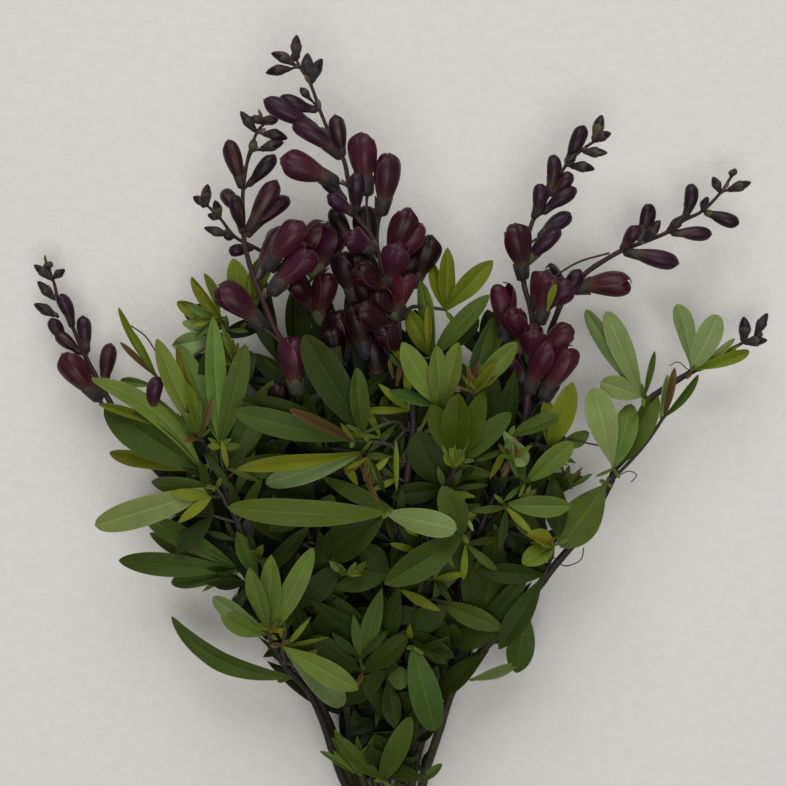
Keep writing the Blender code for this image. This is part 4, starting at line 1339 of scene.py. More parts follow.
@dataclass
class Blade:
    """A leaf blade with its midrib, its fold, a slight twist and a wavy margin."""

    root: Vector
    tip: Vector
    width: float
    tone: Tone
    arch: float = 0.10
    fold: float = 0.16
    curl: float = 0.12
    roll: float = 0.0
    twist: float = 0.0
    sway: float = 0.0
    wave: float = 0.05
    widest: float = 0.6
    sharpness: float = 0.68
    thickness: float = 0.32
    rib: float = 0.45
    least_foot: float = 0.55
    least_tip: float = 0.1
    groove_width: float = 0.5
    groove_depth: float = 0.22
    rows: int = 22
    cols: int = 12

    def surface(self, rng: Rng, slot: int) -> Surface:
        """The blade's thin closed body.

        Args:
            rng: Source of its small differences.
            slot: Which of the piece's finishes it takes.

        Returns:
            The surface.
        """
        length = (self.tip - self.root).length
        side, up = (np.array(v) for v in blade_frame(self.root, self.tip))
        s = np.linspace(0, 1, self.rows + 1)
        t = (0.55 * s + 0.45 * (1 - (1 - s) ** 2.2))[:, None]
        u = np.linspace(-1, 1, self.cols + 1)
        u = (np.sign(u) * np.abs(u) ** 1.15)[None, :]
        root, tip = np.array(self.root), np.array(self.tip)
        middle = (root + tip) / 2 + 2 * length * (self.arch * up + self.sway * side)
        spine = bent(root, middle, tip, t)[:, None, :]
        rise = self.widest / (1 - self.widest) * self.sharpness
        shape = t ** rise * (1 - t) ** self.sharpness
        shape /= self.widest ** rise * (1 - self.widest) ** self.sharpness
        half = np.maximum(self.width / 2 * shape, np.where(t < 0.5, self.least_foot, self.least_tip))
        turn = self.roll + self.twist * (t - 0.5)
        sides = np.cos(turn)[..., None] * side + np.sin(turn)[..., None] * up
        ups = np.cos(turn)[..., None] * up - np.sin(turn)[..., None] * side
        phases = rng.uniform(0, 6.28, 2)
        ripple = np.where(u > 0, np.sin(11 * t + phases[0]), np.sin(13 * t + phases[1]))
        ripple *= self.wave * np.sin(np.pi * t) * np.abs(u) ** 2.5
        height = half * (self.fold * np.abs(u) - self.curl * u ** 2 + ripple)
        groove = np.exp(-(u * half / self.groove_width) ** 2)
        groove = groove * np.minimum(half / 3, 1.0) * (1 - 0.7 * t)
        top = spine + sides * (half * u)[..., None]
        top = top + ups * (height - self.groove_depth * groove)[..., None]
        bottom = top - sheet_normals(top) * (self.thickness + self.rib * groove)[..., None]
        grids = np.broadcast_to(u, height.shape), np.broadcast_to(t, height.shape)
        old = BROWNED.get(self.tone, 0.04) * rng.uniform(0.3, 1.6)
        values = {"across": grids[0], "along": grids[1], "rim": np.abs(grids[0]),
                  "glow": old * grids[1] ** 4 + 0.35 * old * np.abs(grids[0]) ** 6}
        tint = varied(self.tone.tint, rng)
        return thin_shell(top, bottom, values, Look(tint, rng.uniform(0, 50), slot))


@dataclass
class LeafyShoot(SubAssembly):
    """A twig with its blades, whose shapes are still plain, and the stipules at its end."""

    name: str
    twig: StemLine
    blades: list[Blade]
    twig_sides: int = 8
    twig_step: float = 3.0
    real_width: float = 12.0
    unfolded: float = 1.45
    young_width: float = 9.0
    stipules: int = 2
    woody: Colour = (0.030, 0.026, 0.017)
    green: Colour = (0.050, 0.062, 0.018)

    title, solid = "foliage_", "leaves_"

    def fill(self, piece: Piece, rng: Rng) -> None:
        """Adds the twig, the blades and the stipules."""
        self.add_twig(piece, rng)
        for number, placed in enumerate(self.blades):
            blade = self.shaped(placed, rng)
            blade.sway += SWAYS.get((self.name, number), 0.0)
            piece.add(blade.surface(rng, 0))
        self.add_stipules(piece, rng)

    def shaped(self, placed: Blade, rng: Rng) -> Blade:
        """A blade with a shape of its own: a narrow one is a wider blade, folded or rolled."""
        young = placed.tone in (Tone.BRONZE, Tone.YELLOW) and placed.width < self.young_width
        blunt = placed.tone is Tone.GLAUCOUS
        real = max(placed.width, min(self.real_width, placed.width * self.unfolded))
        roll = math.acos(min(placed.width / real, 1.0)) * rng.choice([-1, 1])
        return Blade(
            placed.root, placed.tip, placed.width * 1.15 if young else real, placed.tone,
            arch=rng.uniform(0.07, 0.12),
            fold=rng.uniform(0.75, 1.1) if young else rng.uniform(0.12, 0.5),
            curl=rng.uniform(0.04, 0.2),
            roll=roll * (0.3 if young else 0.9) + 0.12 * rng.normal(),
            twist=0.25 * rng.normal(),
            sway=0.012 * rng.normal(),
            wave=rng.uniform(0.02, 0.09),
            widest=rng.uniform(0.6, 0.7) if blunt else rng.uniform(0.52, 0.64),
            sharpness=rng.uniform(0.45, 0.58) if blunt else rng.uniform(0.55, 0.8))

    def add_twig(self, piece: Piece, rng: Rng) -> None:
        """The twig, darker at its foot than at its end."""
        line = smooth(self.twig.points[:-1], self.twig_step)
        radii = np.linspace(self.twig.radii[0], self.twig.radii[-1], len(line))
        half = len(line) // 2
        foot, end = varied(self.woody, rng), varied(self.green, rng)
        piece.add(tube(line[:half + 1], radii[:half + 1], self.twig_sides, Look(foot, 3.0, 1)))
        piece.add(tube(line[half:], 0.96 * radii[half:], self.twig_sides, Look(end, 7.0, 1)))

    def add_stipules(self, piece: Piece, rng: Rng) -> None:
        """Small pointed leaves where the blades meet the twig."""
        base = self.blades[0].root
        along = (base - self.twig.points[-3]).normalized()
        side, up = blade_frame(base, base + along)
        for i in range(self.stipules):
            away = side * (1 if i % 2 else -1) + up * rng.uniform(0.1, 0.8)
            tip = base + rng.uniform(4, 9) * (away.normalized() + along * rng.uniform(0.2, 1.2))
            tip.z = max(tip.z, 0.6)
            tone = Tone.BRIGHT if rng.random() < 0.7 else Tone.BRONZE
            piece.add(Blade(base, tip, rng.uniform(1.6, 2.8), tone, fold=0.8, rows=9, cols=6,
                            rib=0.1, thickness=0.25).surface(rng, 0))


@dataclass
class Flower:
    """A bud or a pea flower: stalk, lobed calyx, folded pod of wings and keel, and banner."""

    bud: PlacedBud
    rng: Rng
    share: float = 0.96
    stalk_radius: float = 0.68
    columns: int = 20
    facing: float = 1.1
    sheet: float = 0.28
    shade: float = 1.0
    lean: float = math.radians(38)
    cup_flat: float = 0.9
    pod_flat: float = 0.8
    banner_flat: float = 0.92
    wing_flat: float = 0.84
    stalk_tint: Colour = (0.022, 0.015, 0.015)
    dusky: Colour = (0.024, 0.017, 0.019)
    fresh: Colour = (0.062, 0.066, 0.022)

    PETAL, HUSK = 0, 1
    POD = ((0.0, 0.30), (0.14, 0.44), (0.36, 0.76), (0.56, 0.98), (0.74, 1.0), (0.88, 0.84),
           (0.96, 0.54), (0.99, 0.3), (1.0, 0.08))
    SPINDLE = ((0.0, 0.3), (0.18, 0.66), (0.42, 1.0), (0.66, 0.92), (0.85, 0.6), (0.95, 0.32),
               (1.0, 0.07))
    CUP = ((0.0, 0.2), (0.12, 0.46), (0.4, 0.6), (0.75, 0.68), (1.0, 0.74))

    def __post_init__(self) -> None:
        """Works out the flower's size, the directions that it is built on, and its colour."""
        stage = self.stage = self.bud.stage
        self.is_open = stage is Stage.OPEN
        self.young = stage in (Stage.YOUNG, Stage.BUD)
        whole = (self.bud.tip - self.bud.root).length
        self.length = min(stage.full_length, self.share * whole)
        self.radius = (stage.full_radius * (self.length / stage.full_length) ** 0.35
                       * self.rng.uniform(0.93, 1.06))
        along = (self.bud.tip - self.bud.root).normalized()
        banner = self.bud.axis * 0.7 + Vector((0, 0, self.facing))
        banner = (banner - along * banner.dot(along)).normalized()
        lean = self.lean * self.rng.normal()
        banner = (banner * math.cos(lean) + along.cross(banner) * math.sin(lean)).normalized()
        self.along, self.banner = np.array(along), np.array(banner)
        self.side = np.cross(self.along, self.banner)
        self.base = np.array(self.bud.tip) - self.along * self.length
        self.bow = self.rng.uniform(0.01, 0.09) * self.length
        self.phase = self.rng.uniform(0, 90)
        # shade scales the petal colour: below 1 it is painted shade for flowers deep in a cluster, above
        # 1 painted light
        self.tint = [channel * self.shade for channel in varied(stage.tint, self.rng, 0.16)]

    def place(self, reach: Array, side: Array, height: Array) -> Array:
        """Points of the flower.

        Args:
            reach: Shares of its length.
            side: Millimetres to the side.
            height: Millimetres towards the banner.

        Returns:
            The points.
        """
        bend = self.bow * (4 * reach * (1 - reach))
        return (self.base + (reach * self.length)[..., None] * self.along
                + side[..., None] * self.side + (height + bend)[..., None] * self.banner)

    def around(self, reach: Array, girth: Array, angle: Array, flat: float,
               lift: Any = 0.0) -> Array:
        """Points round the flower; a quarter turn is towards the banner, and flat slims it."""
        return self.place(reach, -girth * np.cos(angle) * flat, girth * np.sin(angle) + lift)

    def petal(self, top: Array, grid: tuple[Array, Array], glow: Array, look: Look) -> Surface:
        """A thin petal.

        Args:
            top: Its outer points.
            grid: How far along and how far across each of them lies.
            glow: How tan it is at each of them.
            look: Its look.

        Returns:
            The surface.
        """
        v, u = grid
        values = {"across": u, "along": v, "rim": np.maximum(np.abs(u), v ** 4), "glow": glow}
        return thin_shell(top, top - self.sheet * sheet_normals(top), values, look)

    def petal_grid(self, rows: int, cols: int, crowding: float) -> list[Array]:
        """Places along (0 to 1) and across (-1 to 1), with rows closer together at the tip."""
        return np.meshgrid(1 - (1 - np.linspace(0, 1, rows)) ** crowding,
                           np.linspace(-1, 1, cols), indexing="ij")

    def girth(self, reach: Array) -> Array:
        """The pod's half width at shares of the flower's length."""
        knots = self.SPINDLE if self.young else self.POD
        slim = 0.84 if self.is_open else 0.95
        return eased(knots, np.clip((reach - 0.06) / 0.94, 0, 1)) * self.radius * slim

    def surfaces(self) -> list[Surface]:
        """All parts of the flower."""
        parts = [self.stalk(), self.calyx(), self.pod()]
        if not self.young:
            parts.append(self.banner_petal())
        if self.is_open:
            parts += [self.wing(1), self.wing(-1)]
        return parts

    def stalk(self) -> Surface:
        """The stalk, arched a little towards the tip of the spike."""
        start, end = self.bud.root, Vector(self.base + 0.04 * self.length * self.along)
        span = (end - start).length
        middle = (start + end) / 2 + 0.16 * span * self.bud.axis
        shares = np.linspace(0, 1, 7).tolist()
        points = [bent(start, middle, end, t) for t in shares]
        radii = [self.stalk_radius * (1 + 0.6 * abs(2 * t - 1) ** 3) for t in shares]
        look = Look(varied(self.stalk_tint, self.rng), self.phase, self.HUSK)
        return tube(points, radii, 8, look)

    def ring_grid(self, rows: int) -> tuple[Array, Array]:
        """Shares along and angles round, as two grids; an angle of a quarter turn is up."""
        return np.meshgrid(np.linspace(0, 1, rows),
                           2 * np.pi * np.arange(self.columns) / self.columns, indexing="ij")

    def calyx(self) -> Surface:
        """The bell of the calyx, open at the end, with five short lobes."""
        t, angle = self.ring_grid(10)
        lobes = np.abs(np.cos(2.5 * (angle - np.pi / 2))) ** 0.8
        depth = 0.14 if self.young else 0.3
        reach = self.stage.calyx * t * (1 - depth + depth * lobes)
        girth = eased(self.CUP, t) * self.radius
        girth = np.maximum(girth, self.girth(reach) + (0.16 if self.young else 0.28))
        girth = girth * (1 + (0.02 if self.young else 0.05)
                         * np.cos(5 * (angle - np.pi / 2)) * t)
        girth = girth * np.minimum(1, 0.32 + 6 * t)
        outer = self.around(reach, girth, angle, self.cup_flat)
        inner = self.around(reach, girth - self.sheet, angle, self.cup_flat)
        tan = self.rng.uniform(0.0, 0.3)
        values = {"across": np.cos(angle), "along": t, "rim": t, "glow": tan * t ** 6}
        fresh = self.rng.random() < (0.16 if self.is_open else 0.08)
        tint = varied(self.fresh if fresh else self.dusky, self.rng, 0.2)
        return thin_shell(outer, inner, values, Look(tint, self.phase, self.HUSK), closed=True)

    def pod(self) -> Surface:
        """The folded wings and keel: a flattened pod with a keel below and a seam above."""
        t, angle = self.ring_grid(18)
        t = 1 - (1 - t) ** 1.5
        keel = np.exp(-((np.mod(angle + np.pi / 2 + np.pi, 2 * np.pi) - np.pi) / 0.5) ** 2)
        seam = np.exp(-((angle - np.pi / 2) / 0.32) ** 2)
        reach = 0.06 + 0.94 * t
        girth = self.girth(reach) * (1 + 0.1 * keel - 0.1 * seam)
        rings = self.around(reach, girth, angle, self.pod_flat)
        tan = self.rng.uniform(0.4, 0.9) if self.rng.random() < 0.25 else 0.05
        edge = keel if self.is_open else seam
        values = {"across": np.cos(angle), "along": t, "glow": tan * edge * (1 - t) ** 0.6}
        return solid_round(rings, values, Look(self.tint, self.phase, self.PETAL))

    def banner_petal(self) -> Surface:
        """The banner: a round petal wrapped over the pod, and lifted off it once open."""
        v, u = self.petal_grid(18, 17, 1.6)
        reach = 0.18 + 0.84 * v - 0.03 * np.abs(u) ** 2 * v
        outline = np.sqrt(np.maximum(1 - v ** 5, 0.0004))
        outline = outline * (0.5 + 0.5 * np.sin(np.minimum(v / 0.45, 1) * np.pi / 2))
        angle = np.pi / 2 - u * outline * (1.5 if self.is_open else 1.85)
        girth = self.girth(reach) * 1.03 + 0.4
        lift = 0.0
        if self.is_open:
            flare = self.rng.uniform(0.15, 0.6)
            lift = flare * self.radius * 0.8 * v ** 2
            girth = girth + flare * self.radius * (0.2 + 0.7 * u ** 2) * v ** 1.3 * outline
            girth = girth + 0.14 * self.radius * v
        top = self.around(reach, girth, angle, self.banner_flat, lift)
        crease = 0.09 * self.radius * np.exp(-(u / 0.14) ** 2) * (0.3 + 0.7 * v)
        top = top - crease[..., None] * self.banner
        claw = 0.4 if self.is_open else self.rng.choice([0.03, 0.03, 0.4])
        fold = 0.0 if self.is_open or self.phase % 3 > 1 else 1.5
        pale = fold * np.exp(-(u / 0.1) ** 2) * (v * (1 - v)) ** 1.5
        look = Look(self.tint, self.phase + 9, self.PETAL)
        return self.petal(top, (v, u), claw * (1 - v) ** 7 + pale, look)

    def wing(self, hand: int) -> Surface:
        """One of the two wings at the sides of the keel.

        Args:
            hand: 1 for one side and -1 for the other.

        Returns:
            The surface.
        """
        v, u = self.petal_grid(14, 9, 1.5)
        reach = 0.24 + 0.66 * v
        outline = np.sqrt(np.maximum(1 - v ** 4, 0.0004)) * (0.55 + 0.45 * np.minimum(v * 2, 1))
        angle = u * outline * 1.15 - 0.25
        spread = self.rng.uniform(0.02, 0.22) * self.radius * v
        girth = self.girth(reach) + 0.3
        side = hand * (girth * np.cos(angle) * self.wing_flat + spread)
        top = self.place(reach, side, girth * np.sin(angle))
        if hand > 0:
            top, u = top[:, ::-1], u[:, ::-1]
        tint = [channel * 1.15 for channel in self.tint]
        look = Look(tint, self.phase + 20 + hand, self.PETAL)
        return self.petal(top, (v, u), 0.4 * (1 - v) ** 6, look)


@dataclass
class FlowerSpike(SubAssembly):
    """A spike: its axis, its bracts, and its buds and flowers."""

    layout: Layout
    name: str
    inner_shade: float = 0.22
    sides: int = 12
    step: float = 2.5
    knots: float = 0.04
    knot_turns: float = 60.0
    bark: Colour = (0.030, 0.011, 0.013)
    scale: Colour = (0.075, 0.055, 0.045)

    title, slot, solid = "flowers_", "flower", "spike_"

    def buds(self) -> list[PlacedBud]:
        """The spike's buds and flowers: the planned ones, with those inside its clusters last."""
        buds = list(self.layout.buds[self.name])
        for (spike, number), (root, tip, stage) in GROWN_FLOWERS.items():
            if spike == self.name:
                buds[number] = PlacedBud(self.layout.sight(*root), self.layout.sight(*tip),
                                         STAGES[stage], buds[number].axis)
        points = self.layout.axes[self.name].points
        for root, tip, stage in INNER_FLOWERS.get(self.name, ()):
            foot = self.layout.sight(*root)
            near = min(range(1, len(points)), key=lambda i: (points[i] - foot).length)
            along = (points[near] - points[near - 1]).normalized()
            buds.append(PlacedBud(foot, self.layout.sight(*tip), STAGES[stage], along))
        return buds

    def fill(self, piece: Piece, rng: Rng) -> None:
        """Adds the axis, the buds and flowers with their bracts, and the unopened crown."""
        axis = self.layout.axes[self.name]
        line = smooth(axis.points, self.step)
        radii = np.linspace(axis.radii[0], axis.radii[-1], len(line))
        radii *= 1 + self.knots * np.sin(np.linspace(0, self.knot_turns, len(line)))
        piece.add(tube(line, radii, self.sides, Look(varied(self.bark, rng), 1.0, 2)))
        planned = len(self.layout.buds[self.name])
        for number, bud in enumerate(self.buds()):
            # Flowers inside the clusters are darkened as painted shade, unless the table gives them a
            # factor of their own
            usual = 1.0 if number < planned else self.inner_shade
            shade = FLOWER_PAINTED_LIGHT_AND_SHADE.get((self.name, number), usual)
            piece.add(*Flower(bud, rng, shade=shade).surfaces())
            piece.add(self.bract(bud, rng))
        self.add_apex(piece, axis, rng)

    def bract(self, bud: PlacedBud, rng: Rng) -> Surface:
        """The small pointed bract under a flower's stalk."""
        away = (bud.tip - bud.root).normalized()
        tip = bud.root + rng.uniform(4, 7) * (away + 0.5 * bud.axis).normalized()
        tip += 1.2 * Vector(rng.normal(size=3))
        blade = Blade(bud.root, tip, rng.uniform(1.4, 2.4), Tone.BRONZE, fold=0.5, rows=7, cols=4,
                      rib=0.05, thickness=0.25)
        surface = blade.surface(rng, Flower.HUSK)
        surface.look.tint = varied(self.scale, rng)
        return surface

    def add_apex(self, piece: Piece, axis: StemLine, rng: Rng) -> None:
        """The unopened crown at the very tip of the axis."""
        end, before = axis.points[-1], axis.points[-2]
        along = (end - before).normalized()
        for i in range(3):
            turn = Vector(rng.normal(size=3))
            away = (along + 0.6 * (turn - along * turn.dot(along)).normalized() * (i > 0))
            tip = end + away.normalized() * rng.uniform(4.0, 5.5)
            piece.add(*Flower(PlacedBud(end, tip, Stage.YOUNG, along), rng).surfaces())


@dataclass
class CutStem(SubAssembly):
    """A stem from its cut end to its top, with leaf scars and a pale cut face."""

    name: str
    line: StemLine
    sides: int = 14
    step: float = 4.0
    node_pitch: float = 34.0
    node_length: float = 3.0
    node_rise: float = 0.10
    slim: float = 0.99
    turns_from: float = 0.35
    turns_over: float = 0.4
    low: Colour = (0.036, 0.037, 0.013)
    high: Colour = (0.017, 0.010, 0.011)

    # Rings of the cut face from its middle: share of the radius, height and paleness
    FACE = ((0.05, 0.02, 0.6), (0.36, 0.05, 0.8), (0.45, 0.2, 1.0), (0.86, 0.22, 0.75),
            (1.0, 0.12, 0.4), (1.0, -0.2, 0.3))

    title, slot, solid = "cut_stem_", "stem", "stem_"

    def fill(self, piece: Piece, rng: Rng) -> None:
        """Adds the stem, a little thicker at each node, and its cut face."""
        points = smooth(self.line.points, self.step)
        counts = [max(1, round(step / self.step)) for step in np.diff(walk(self.line.points))]
        radii = np.interp(np.arange(len(points)), np.cumsum([0] + counts), self.line.radii)
        walked = walk(points) + rng.uniform(0, self.node_pitch)
        near = abs(walked % self.node_pitch - self.node_pitch / 2)
        radii *= self.slim * (1 + self.node_rise * np.exp(-(near / self.node_length) ** 2))
        share = np.linspace(0, 1, len(points))
        turn = np.clip((share - self.turns_from) / self.turns_over, 0, 1)[:, None]
        tints = (1 - turn) * np.array(self.low) + turn * np.array(self.high)
        look = Look(np.repeat(tints, self.sides, axis=0), rng.uniform(0, 50), 0)
        cut = tube(points, radii, self.sides, look)
        cut.values["along"] = np.repeat(share * walk(points)[-1] * MM, self.sides)
        piece.add(cut, self.cut_face(cut.points[:self.sides], rng))

    def cut_face(self, ring: Array, rng: Rng) -> Surface:
        """A thin pale disc on the cut end, slightly hollow at the pith."""
        centre = ring.mean(axis=0)
        normal = np.cross(ring[1] - ring[0], ring[2] - ring[0])
        normal /= np.linalg.norm(normal)
        if normal @ np.array((0.0, -1.0, 0.0)) < 0:
            normal = -normal
        rings = [centre + (ring - centre) * share + normal * lift for share, lift, _ in self.FACE]
        glow = [np.full(len(ring), pale) for _, _, pale in self.FACE]
        look = Look(self.low, rng.uniform(0, 9), 0)
        return solid_round(np.array(rings), {"glow": np.array(glow)}, look)


@dataclass
class RubberBand(SubAssembly):
    """The tie: one band wound several times round the stems."""

    layout: Layout
    turns: int = 5
    thick: float = 0.55
    wide: float = 0.95
    sides: int = 96
    section: int = 10
    slack: float = 0.02
    squareness: float = 0.6
    tint: Colour = (0.47, 0.27, 0.11)

    title, name, slot, solid = "rubber_band", "", "band", "tie"

    def fill(self, piece: Piece, rng: Rng) -> None:
        """Adds the turns side by side."""
        outline = self.outline()
        for turn in range(self.turns):
            offset = (turn / (self.turns - 1) - 0.5) * (self.layout.band_width - 2 * self.wide)
            piece.add(self.loop(outline, offset, rng))

    def outline(self) -> Array:
        """The closed line that a turn follows round the outermost stems: x and height."""
        slots = [self.layout.slot_place(*slot) for slot, _, _ in STEMS.values()]
        reach = self.layout.stem_radius + self.layout.gap + self.thick + self.slack
        line = []
        for angle in 2 * np.pi * np.arange(self.sides) / self.sides:
            away = (math.cos(angle), math.sin(angle))
            x, z = max(slots, key=lambda slot: slot[0] * away[0] + slot[1] * away[1])
            line.append((x + reach * away[0], z + reach * away[1]))
        return np.array(line)

    def loop(self, outline: Array, offset: float, rng: Rng) -> Surface:
        """One turn of the band.

        Args:
            outline: The line that it follows, x and height.
            offset: How far along the stems it lies from the middle of the tie.
            rng: Source of its small differences.

        Returns:
            The turn's closed ring.
        """
        around = 2 * np.pi * np.arange(self.sides) / self.sides
        slant = rng.uniform(0.2, 0.75) * np.sin(around + rng.uniform(0, 6.28))
        line = np.stack([outline[:, 0], self.layout.tie_y + offset + slant, outline[:, 1]], axis=1)
        centre = line + np.array(self.layout.shift)
        middle = centre.mean(axis=0)
        tangent = np.roll(centre, -1, axis=0) - np.roll(centre, 1, axis=0)
        tangent /= np.linalg.norm(tangent, axis=1, keepdims=True)
        width = np.array((0.0, 1.0, 0.0)) - tangent * tangent[:, 1:2]
        width /= np.linalg.norm(width, axis=1, keepdims=True)
        out = np.cross(tangent, width)
        out *= np.sign(np.sum(out * (centre - middle), axis=1, keepdims=True))
        angles = 2 * np.pi * np.arange(self.section) / self.section
        flat, proud = (np.sign(part) * np.abs(part) ** self.squareness
                       for part in (np.cos(angles), np.sin(angles)))
        rings = (centre[:, None] + self.wide * flat[None, :, None] * width[:, None]
                 + self.thick * proud[None, :, None] * out[:, None])
        index = np.arange(self.sides * self.section).reshape(self.sides, self.section)
        faces = cells(np.pad(index, ((0, 1), (0, 1)), mode="wrap")).tolist()
        return Surface(rings.reshape(-1, 3), faces, {"across": np.tile(flat, self.sides)},
                       Look(varied(self.tint, rng, 0.05), 0.0, 0))


@dataclass
class Undergrowth(SubAssembly):
    """Leaves inside the bunch, on one of its stems or on its twigs."""

    layout: Layout
    name: str
    lines: list[list[Vector]]
    pitch: float = 9.0
    tries: int = 14
    highest: float = 60.0
    highest_there: float = 44.0
    flowers_from: float = 6.0
    lengths: Pair = (34.0, 60.0)
    widths: Pair = (10.0, 15.5)
    stalks: Pair = (7.0, 15.0)
    # Painted shade: the lower a leaf lies, the darker the tone that it gets
    tones: tuple[tuple[float, Tone], ...] = (
        (38.0, Tone.SHADE), (60.0, Tone.DARK), (200.0, Tone.MID))
    rows: int = 14
    cols: int = 8
    lowest_foot: float = 2.0
    lowest_tip: float = 1.2
    side_share: float = 0.88
    room: float = 0.8
    stalk_radius: float = 0.8
    stalk_tint: Colour = (0.035, 0.036, 0.016)

    title = "inner_leaves_"

    def fill(self, piece: Piece, rng: Rng) -> None:
        """Adds a leaf at each step along the lines that lies in the leafy mass."""
        for line in self.lines:
            walked = rng.uniform(0, self.pitch)
            for before, point in zip(line, line[1:]):
                walked += (point - before).length
                if walked >= self.pitch and inside(self.layout.plan(point), MASS_OUTLINE):
                    walked = 0.0
                    self.add_leaf(piece, point, (point - before).normalized(), rng)

    def add_leaf(self, piece: Piece, point: Vector, stem: Vector, rng: Rng) -> None:
        """Adds a leaf of three blades where there is room for it.

        Args:
            piece: The piece that gathers the leaves of a stem.
            point: Where the leaf leaves its stem.
            stem: Which way the stem grows there.
            rng: Source of its small differences.
        """
        for _ in range(self.tries):
            turn = Vector(rng.normal(size=3))
            turn.z *= 0.6
            away = (turn - stem * turn.dot(stem)).normalized()
            heading = (stem * rng.uniform(0.3, 0.9) + away).normalized()
            foot = point + heading * rng.uniform(*self.stalks)
            among_flowers = self.layout.plan(foot)[1] > self.flowers_from
            highest = self.highest_there if among_flowers else self.highest
            if not self.lowest_foot < foot.z < highest:
                continue
            side, up = blade_frame(foot, foot + heading)
            length = rng.uniform(*self.lengths)
            width = rng.uniform(*self.widths)
            blades = []
            for angle, share in ((0.0, 1.0), (rng.uniform(0.6, 1.1), self.side_share),
                                 (-rng.uniform(0.6, 1.1), self.side_share)):
                way = heading * math.cos(angle) + side * math.sin(angle)
                tip = foot + length * share * (way + 0.2 * rng.normal() * up)
                tip.z = min(max(tip.z, self.lowest_tip), highest)
                if not inside(self.layout.plan(tip), MASS_OUTLINE):
                    continue
                shell = self.layout.blade_shell(foot, tip, width * share * self.room)
                if not self.layout.thicket.touches("", shell):
                    blades.append((tip, width * share, shell))
            if len(blades) < 2:
                continue
            for tip, wide, shell in blades:
                self.layout.thicket.add("inner", shell)
                piece.add(self.blade(foot, tip, wide, rng).surface(rng, 0))
            stalk = smooth([point, (point + foot) / 2 + self.stalk_radius * up, foot], 4.0)
            radii = [self.stalk_radius] * len(stalk)
            piece.add(tube(stalk, radii, 6, Look(self.stalk_tint, 2.0, 1)))
            return

    def blade(self, foot: Vector, tip: Vector, wide: float, rng: Rng) -> Blade:
        """A blade whose tone follows its height as painted shade: the deeper it lies, the darker."""
        level = (foot.z + tip.z) / 2 + 6 * rng.normal()
        tone = next(tone for top, tone in self.tones if level < top)
        return Blade(foot, tip, wide, tone, arch=rng.uniform(0.06, 0.12),
                     fold=rng.uniform(0.05, 0.35), curl=rng.uniform(0.05, 0.2),
                     roll=0.3 * rng.normal(), twist=0.3 * rng.normal(),
                     wave=rng.uniform(0.02, 0.08), widest=rng.uniform(0.46, 0.6),
                     sharpness=rng.uniform(0.75, 1.05), rows=self.rows, cols=self.cols)


@dataclass
class SmallUndergrowth(Undergrowth):
    """Small narrow leaves that fill what room the larger ones leave."""

    pitch: float = 11.0
    highest: float = 72.0
    lengths: Pair = (14.0, 32.0)
    widths: Pair = (3.0, 6.5)
    stalks: Pair = (3.0, 8.0)
    # Painted shade: the lower a leaf lies, the darker the tone that it gets
    tones: tuple[tuple[float, Tone], ...] = (
        (48.0, Tone.SHADE), (64.0, Tone.DARK), (70.0, Tone.MID), (200.0, Tone.YELLOW))
    rows: int = 11
    cols: int = 6

    title = "small_leaves_"


def inside(point: Pair, outline: Sequence[Pair]) -> bool:
    """Whether a point lies inside a closed outline, by the crossings to one side.

    Args:
        point: The point.
        outline: The outline's corners.

    Returns:
        True inside it.
    """
    x, y = point
    found = False
    for (ax, ay), (bx, by) in zip(outline, outline[1:] + outline[:1]):
        if (ay > y) != (by > y) and x < ax + (y - ay) * (bx - ax) / (by - ay):
            found = not found
    return found


@dataclass(frozen=True)
class Tuft:
    """A fan of thin young leaves: its foot, its heading and spread in degrees, and its leaves."""

    foot: Point
    heading: float
    spread: float
    count: int
    lengths: Pair
    width: float
    tones: str


@dataclass
class YoungGrowth(SubAssembly):
    """Single small leaves, tufts of young leaves, and thin stalks and tendrils."""

    layout: Layout
    stalk_tint: Colour = (0.030, 0.028, 0.012)

    title, name = "young_leaves", ""

    def fill(self, piece: Piece, rng: Rng) -> None:
        """Adds the single leaves, the tufts and the stalks."""
        for base, tip, width, tone in SPRIGS:
            blade = Blade(self.layout.sight(*base), self.layout.sight(*tip), width, TONES[tone],
                          fold=rng.uniform(0.5, 1.0), sway=0.02 * rng.normal(),
                          roll=0.3 * rng.normal(), rows=14, cols=6, rib=0.2)
            piece.add(blade.surface(rng, 0))
        for row in TUFTS:
            self.add_tuft(piece, Tuft(*row), rng)
        for radius, knots in STALKS:
            line = smooth([self.layout.sight(*knot) for knot in knots], 1.5)
            look = Look(varied(self.stalk_tint, rng), rng.uniform(0, 9), 1)
            piece.add(tube(line, [radius] * len(line), 6, look))

    def add_tuft(self, piece: Piece, tuft: Tuft, rng: Rng) -> None:
        """Adds a tuft's leaves, one after the other across the fan."""
        base = self.layout.sight(*tuft.foot)
        for i in range(tuft.count):
            share = (i + 0.5) / tuft.count - 0.5 + 0.08 * rng.normal()
            angle = math.radians(tuft.heading + tuft.spread * share)
            away = Vector((math.cos(angle), math.sin(angle), rng.uniform(-0.1, 0.55)))
            tip = base + rng.uniform(*tuft.lengths) * away.normalized()
            start = base + 0.8 * Vector(rng.normal(size=3))
            tone = TONES[tuft.tones[i % len(tuft.tones)]]
            blade = Blade(start, tip, tuft.width * rng.uniform(0.7, 1.4), tone,
                          fold=rng.uniform(0.4, 1.0),
                          sway=0.04 * rng.normal(), roll=0.4 * rng.normal(),
                          rows=10, cols=4, rib=0.1, thickness=0.25, sharpness=0.9)
            piece.add(blade.surface(rng, 0))


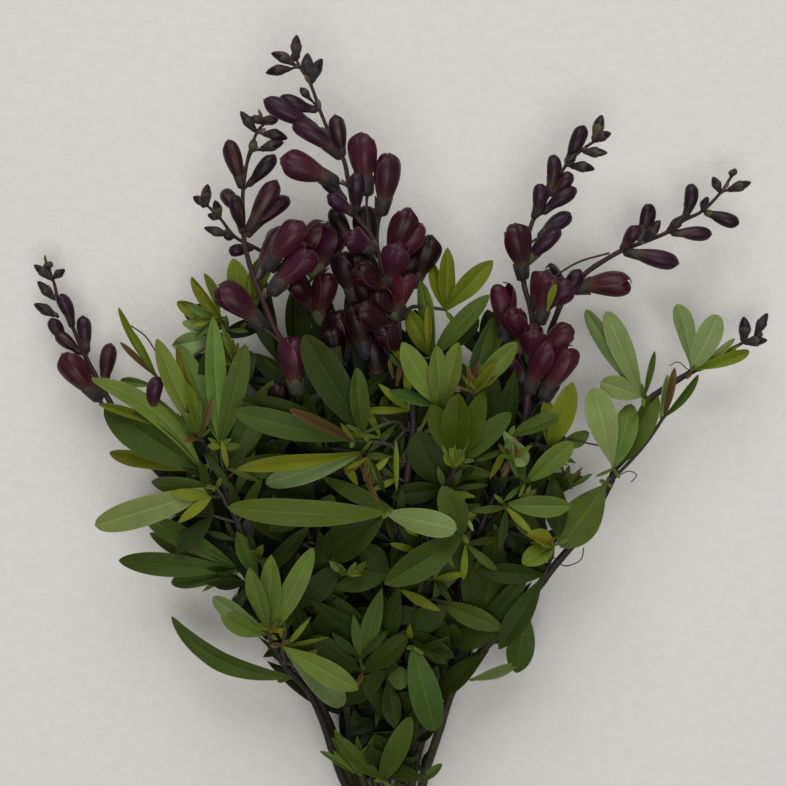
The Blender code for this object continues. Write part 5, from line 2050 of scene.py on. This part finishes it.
@dataclass
class Studio:
    """The pale floor, the soft lights and the camera that looks straight down.

    The floor and the lights are in metres.
    """

    layout: Layout
    frame_width: float = 432.3
    sensor: float = 36.0
    floor_size: float = 3.2
    floor_level: float = -0.0002
    daylight: Colour = (1.0, 0.985, 0.955)
    room: Colour = (1.0, 0.985, 0.96)
    room_light: float = 0.16

    def build(self) -> None:
        """Makes all of it."""
        self.add_floor()
        self.add_light("window", (-0.15, 2.4, 2.3), (0.0, 0.05, 0.0), 2.4, 69.0, self.daylight)
        self.add_light("ceiling", (0.1, -0.6, 2.3), (0.0, -0.1, 0.0), 1.4, 26.0, self.room)
        world = bpy.data.worlds.new("room")
        world.use_nodes = True
        background = world.node_tree.nodes["Background"]
        background.inputs["Color"].default_value = (*self.room, 1.0)
        background.inputs["Strength"].default_value = self.room_light
        bpy.context.scene.world = world
        bpy.context.scene.view_settings.view_transform = "Standard"
        self.add_camera()

    def add_floor(self) -> None:
        """A plain pale floor under the bunch."""
        half = self.floor_size / 2
        mesh = bpy.data.meshes.new("floor")
        corners = [(-half, -half), (half, -half), (half, half), (-half, half)]
        mesh.from_pydata([(x, y, self.floor_level) for x, y in corners], [], [(0, 1, 2, 3)])
        mesh.materials.append(FloorFinish().make())
        put("floor", mesh)

    def add_light(self, name: str, place: Point, target: Point, size: float, power: float,
                  colour: Colour) -> None:
        """Adds a soft square light.

        Args:
            name: Its name.
            place: Where it hangs.
            target: What it faces.
            size: The length of its sides.
            power: Its power in watts.
            colour: Its colour.
        """
        light = bpy.data.lights.new(name, "AREA")
        light.size = size
        light.energy = power
        light.color = colour
        lamp = put(name, light)
        lamp.location = place
        lamp.rotation_euler = (Vector(target) - Vector(place)).to_track_quat("-Z", "Y").to_euler()

    def add_camera(self) -> None:
        """The camera above the middle of the plan, looking down with the spikes upwards."""
        camera = bpy.data.cameras.new("camera")
        reach = self.layout.eye_height - self.layout.seen_level
        camera.sensor_width = self.sensor
        camera.lens = self.sensor * reach / self.frame_width
        eye = put("camera", camera)
        eye.location = (self.layout.shift[0] * MM, self.layout.shift[1] * MM,
                        self.layout.eye_height * MM)
        bpy.context.scene.camera = eye


def main() -> None:
    """Builds the bunch and its studio, and reports each piece."""
    logging.basicConfig(level=logging.INFO, format="%(message)s")
    layout = Layout()
    layout.grow()
    leaf, petal, husk = LeafFinish().make(), PetalFinish().make(), HuskFinish().make()
    stem, band = StemFinish().make(), BandFinish().make()
    for number, (name, line) in enumerate(layout.stems.items()):
        CutStem(name, line).build([stem], 100 + number)
    RubberBand(layout).build([band], 41)
    for number, name in enumerate(layout.axes):
        FlowerSpike(layout, name).build([petal, husk, stem], 200 + number)
    for number, shoot in enumerate(layout.shoots.values()):
        shoot.build([leaf, stem], 300 + number)
    for kind, seed in ((Undergrowth, 400), (SmallUndergrowth, 450)):
        for number, (name, lines) in enumerate(layout.leafy_lines().items()):
            kind(layout, name, lines).build([leaf, stem], seed + number)
    YoungGrowth(layout).build([leaf, stem], 500)
    Studio(layout).build()


if __name__ == "__main__":
    main()
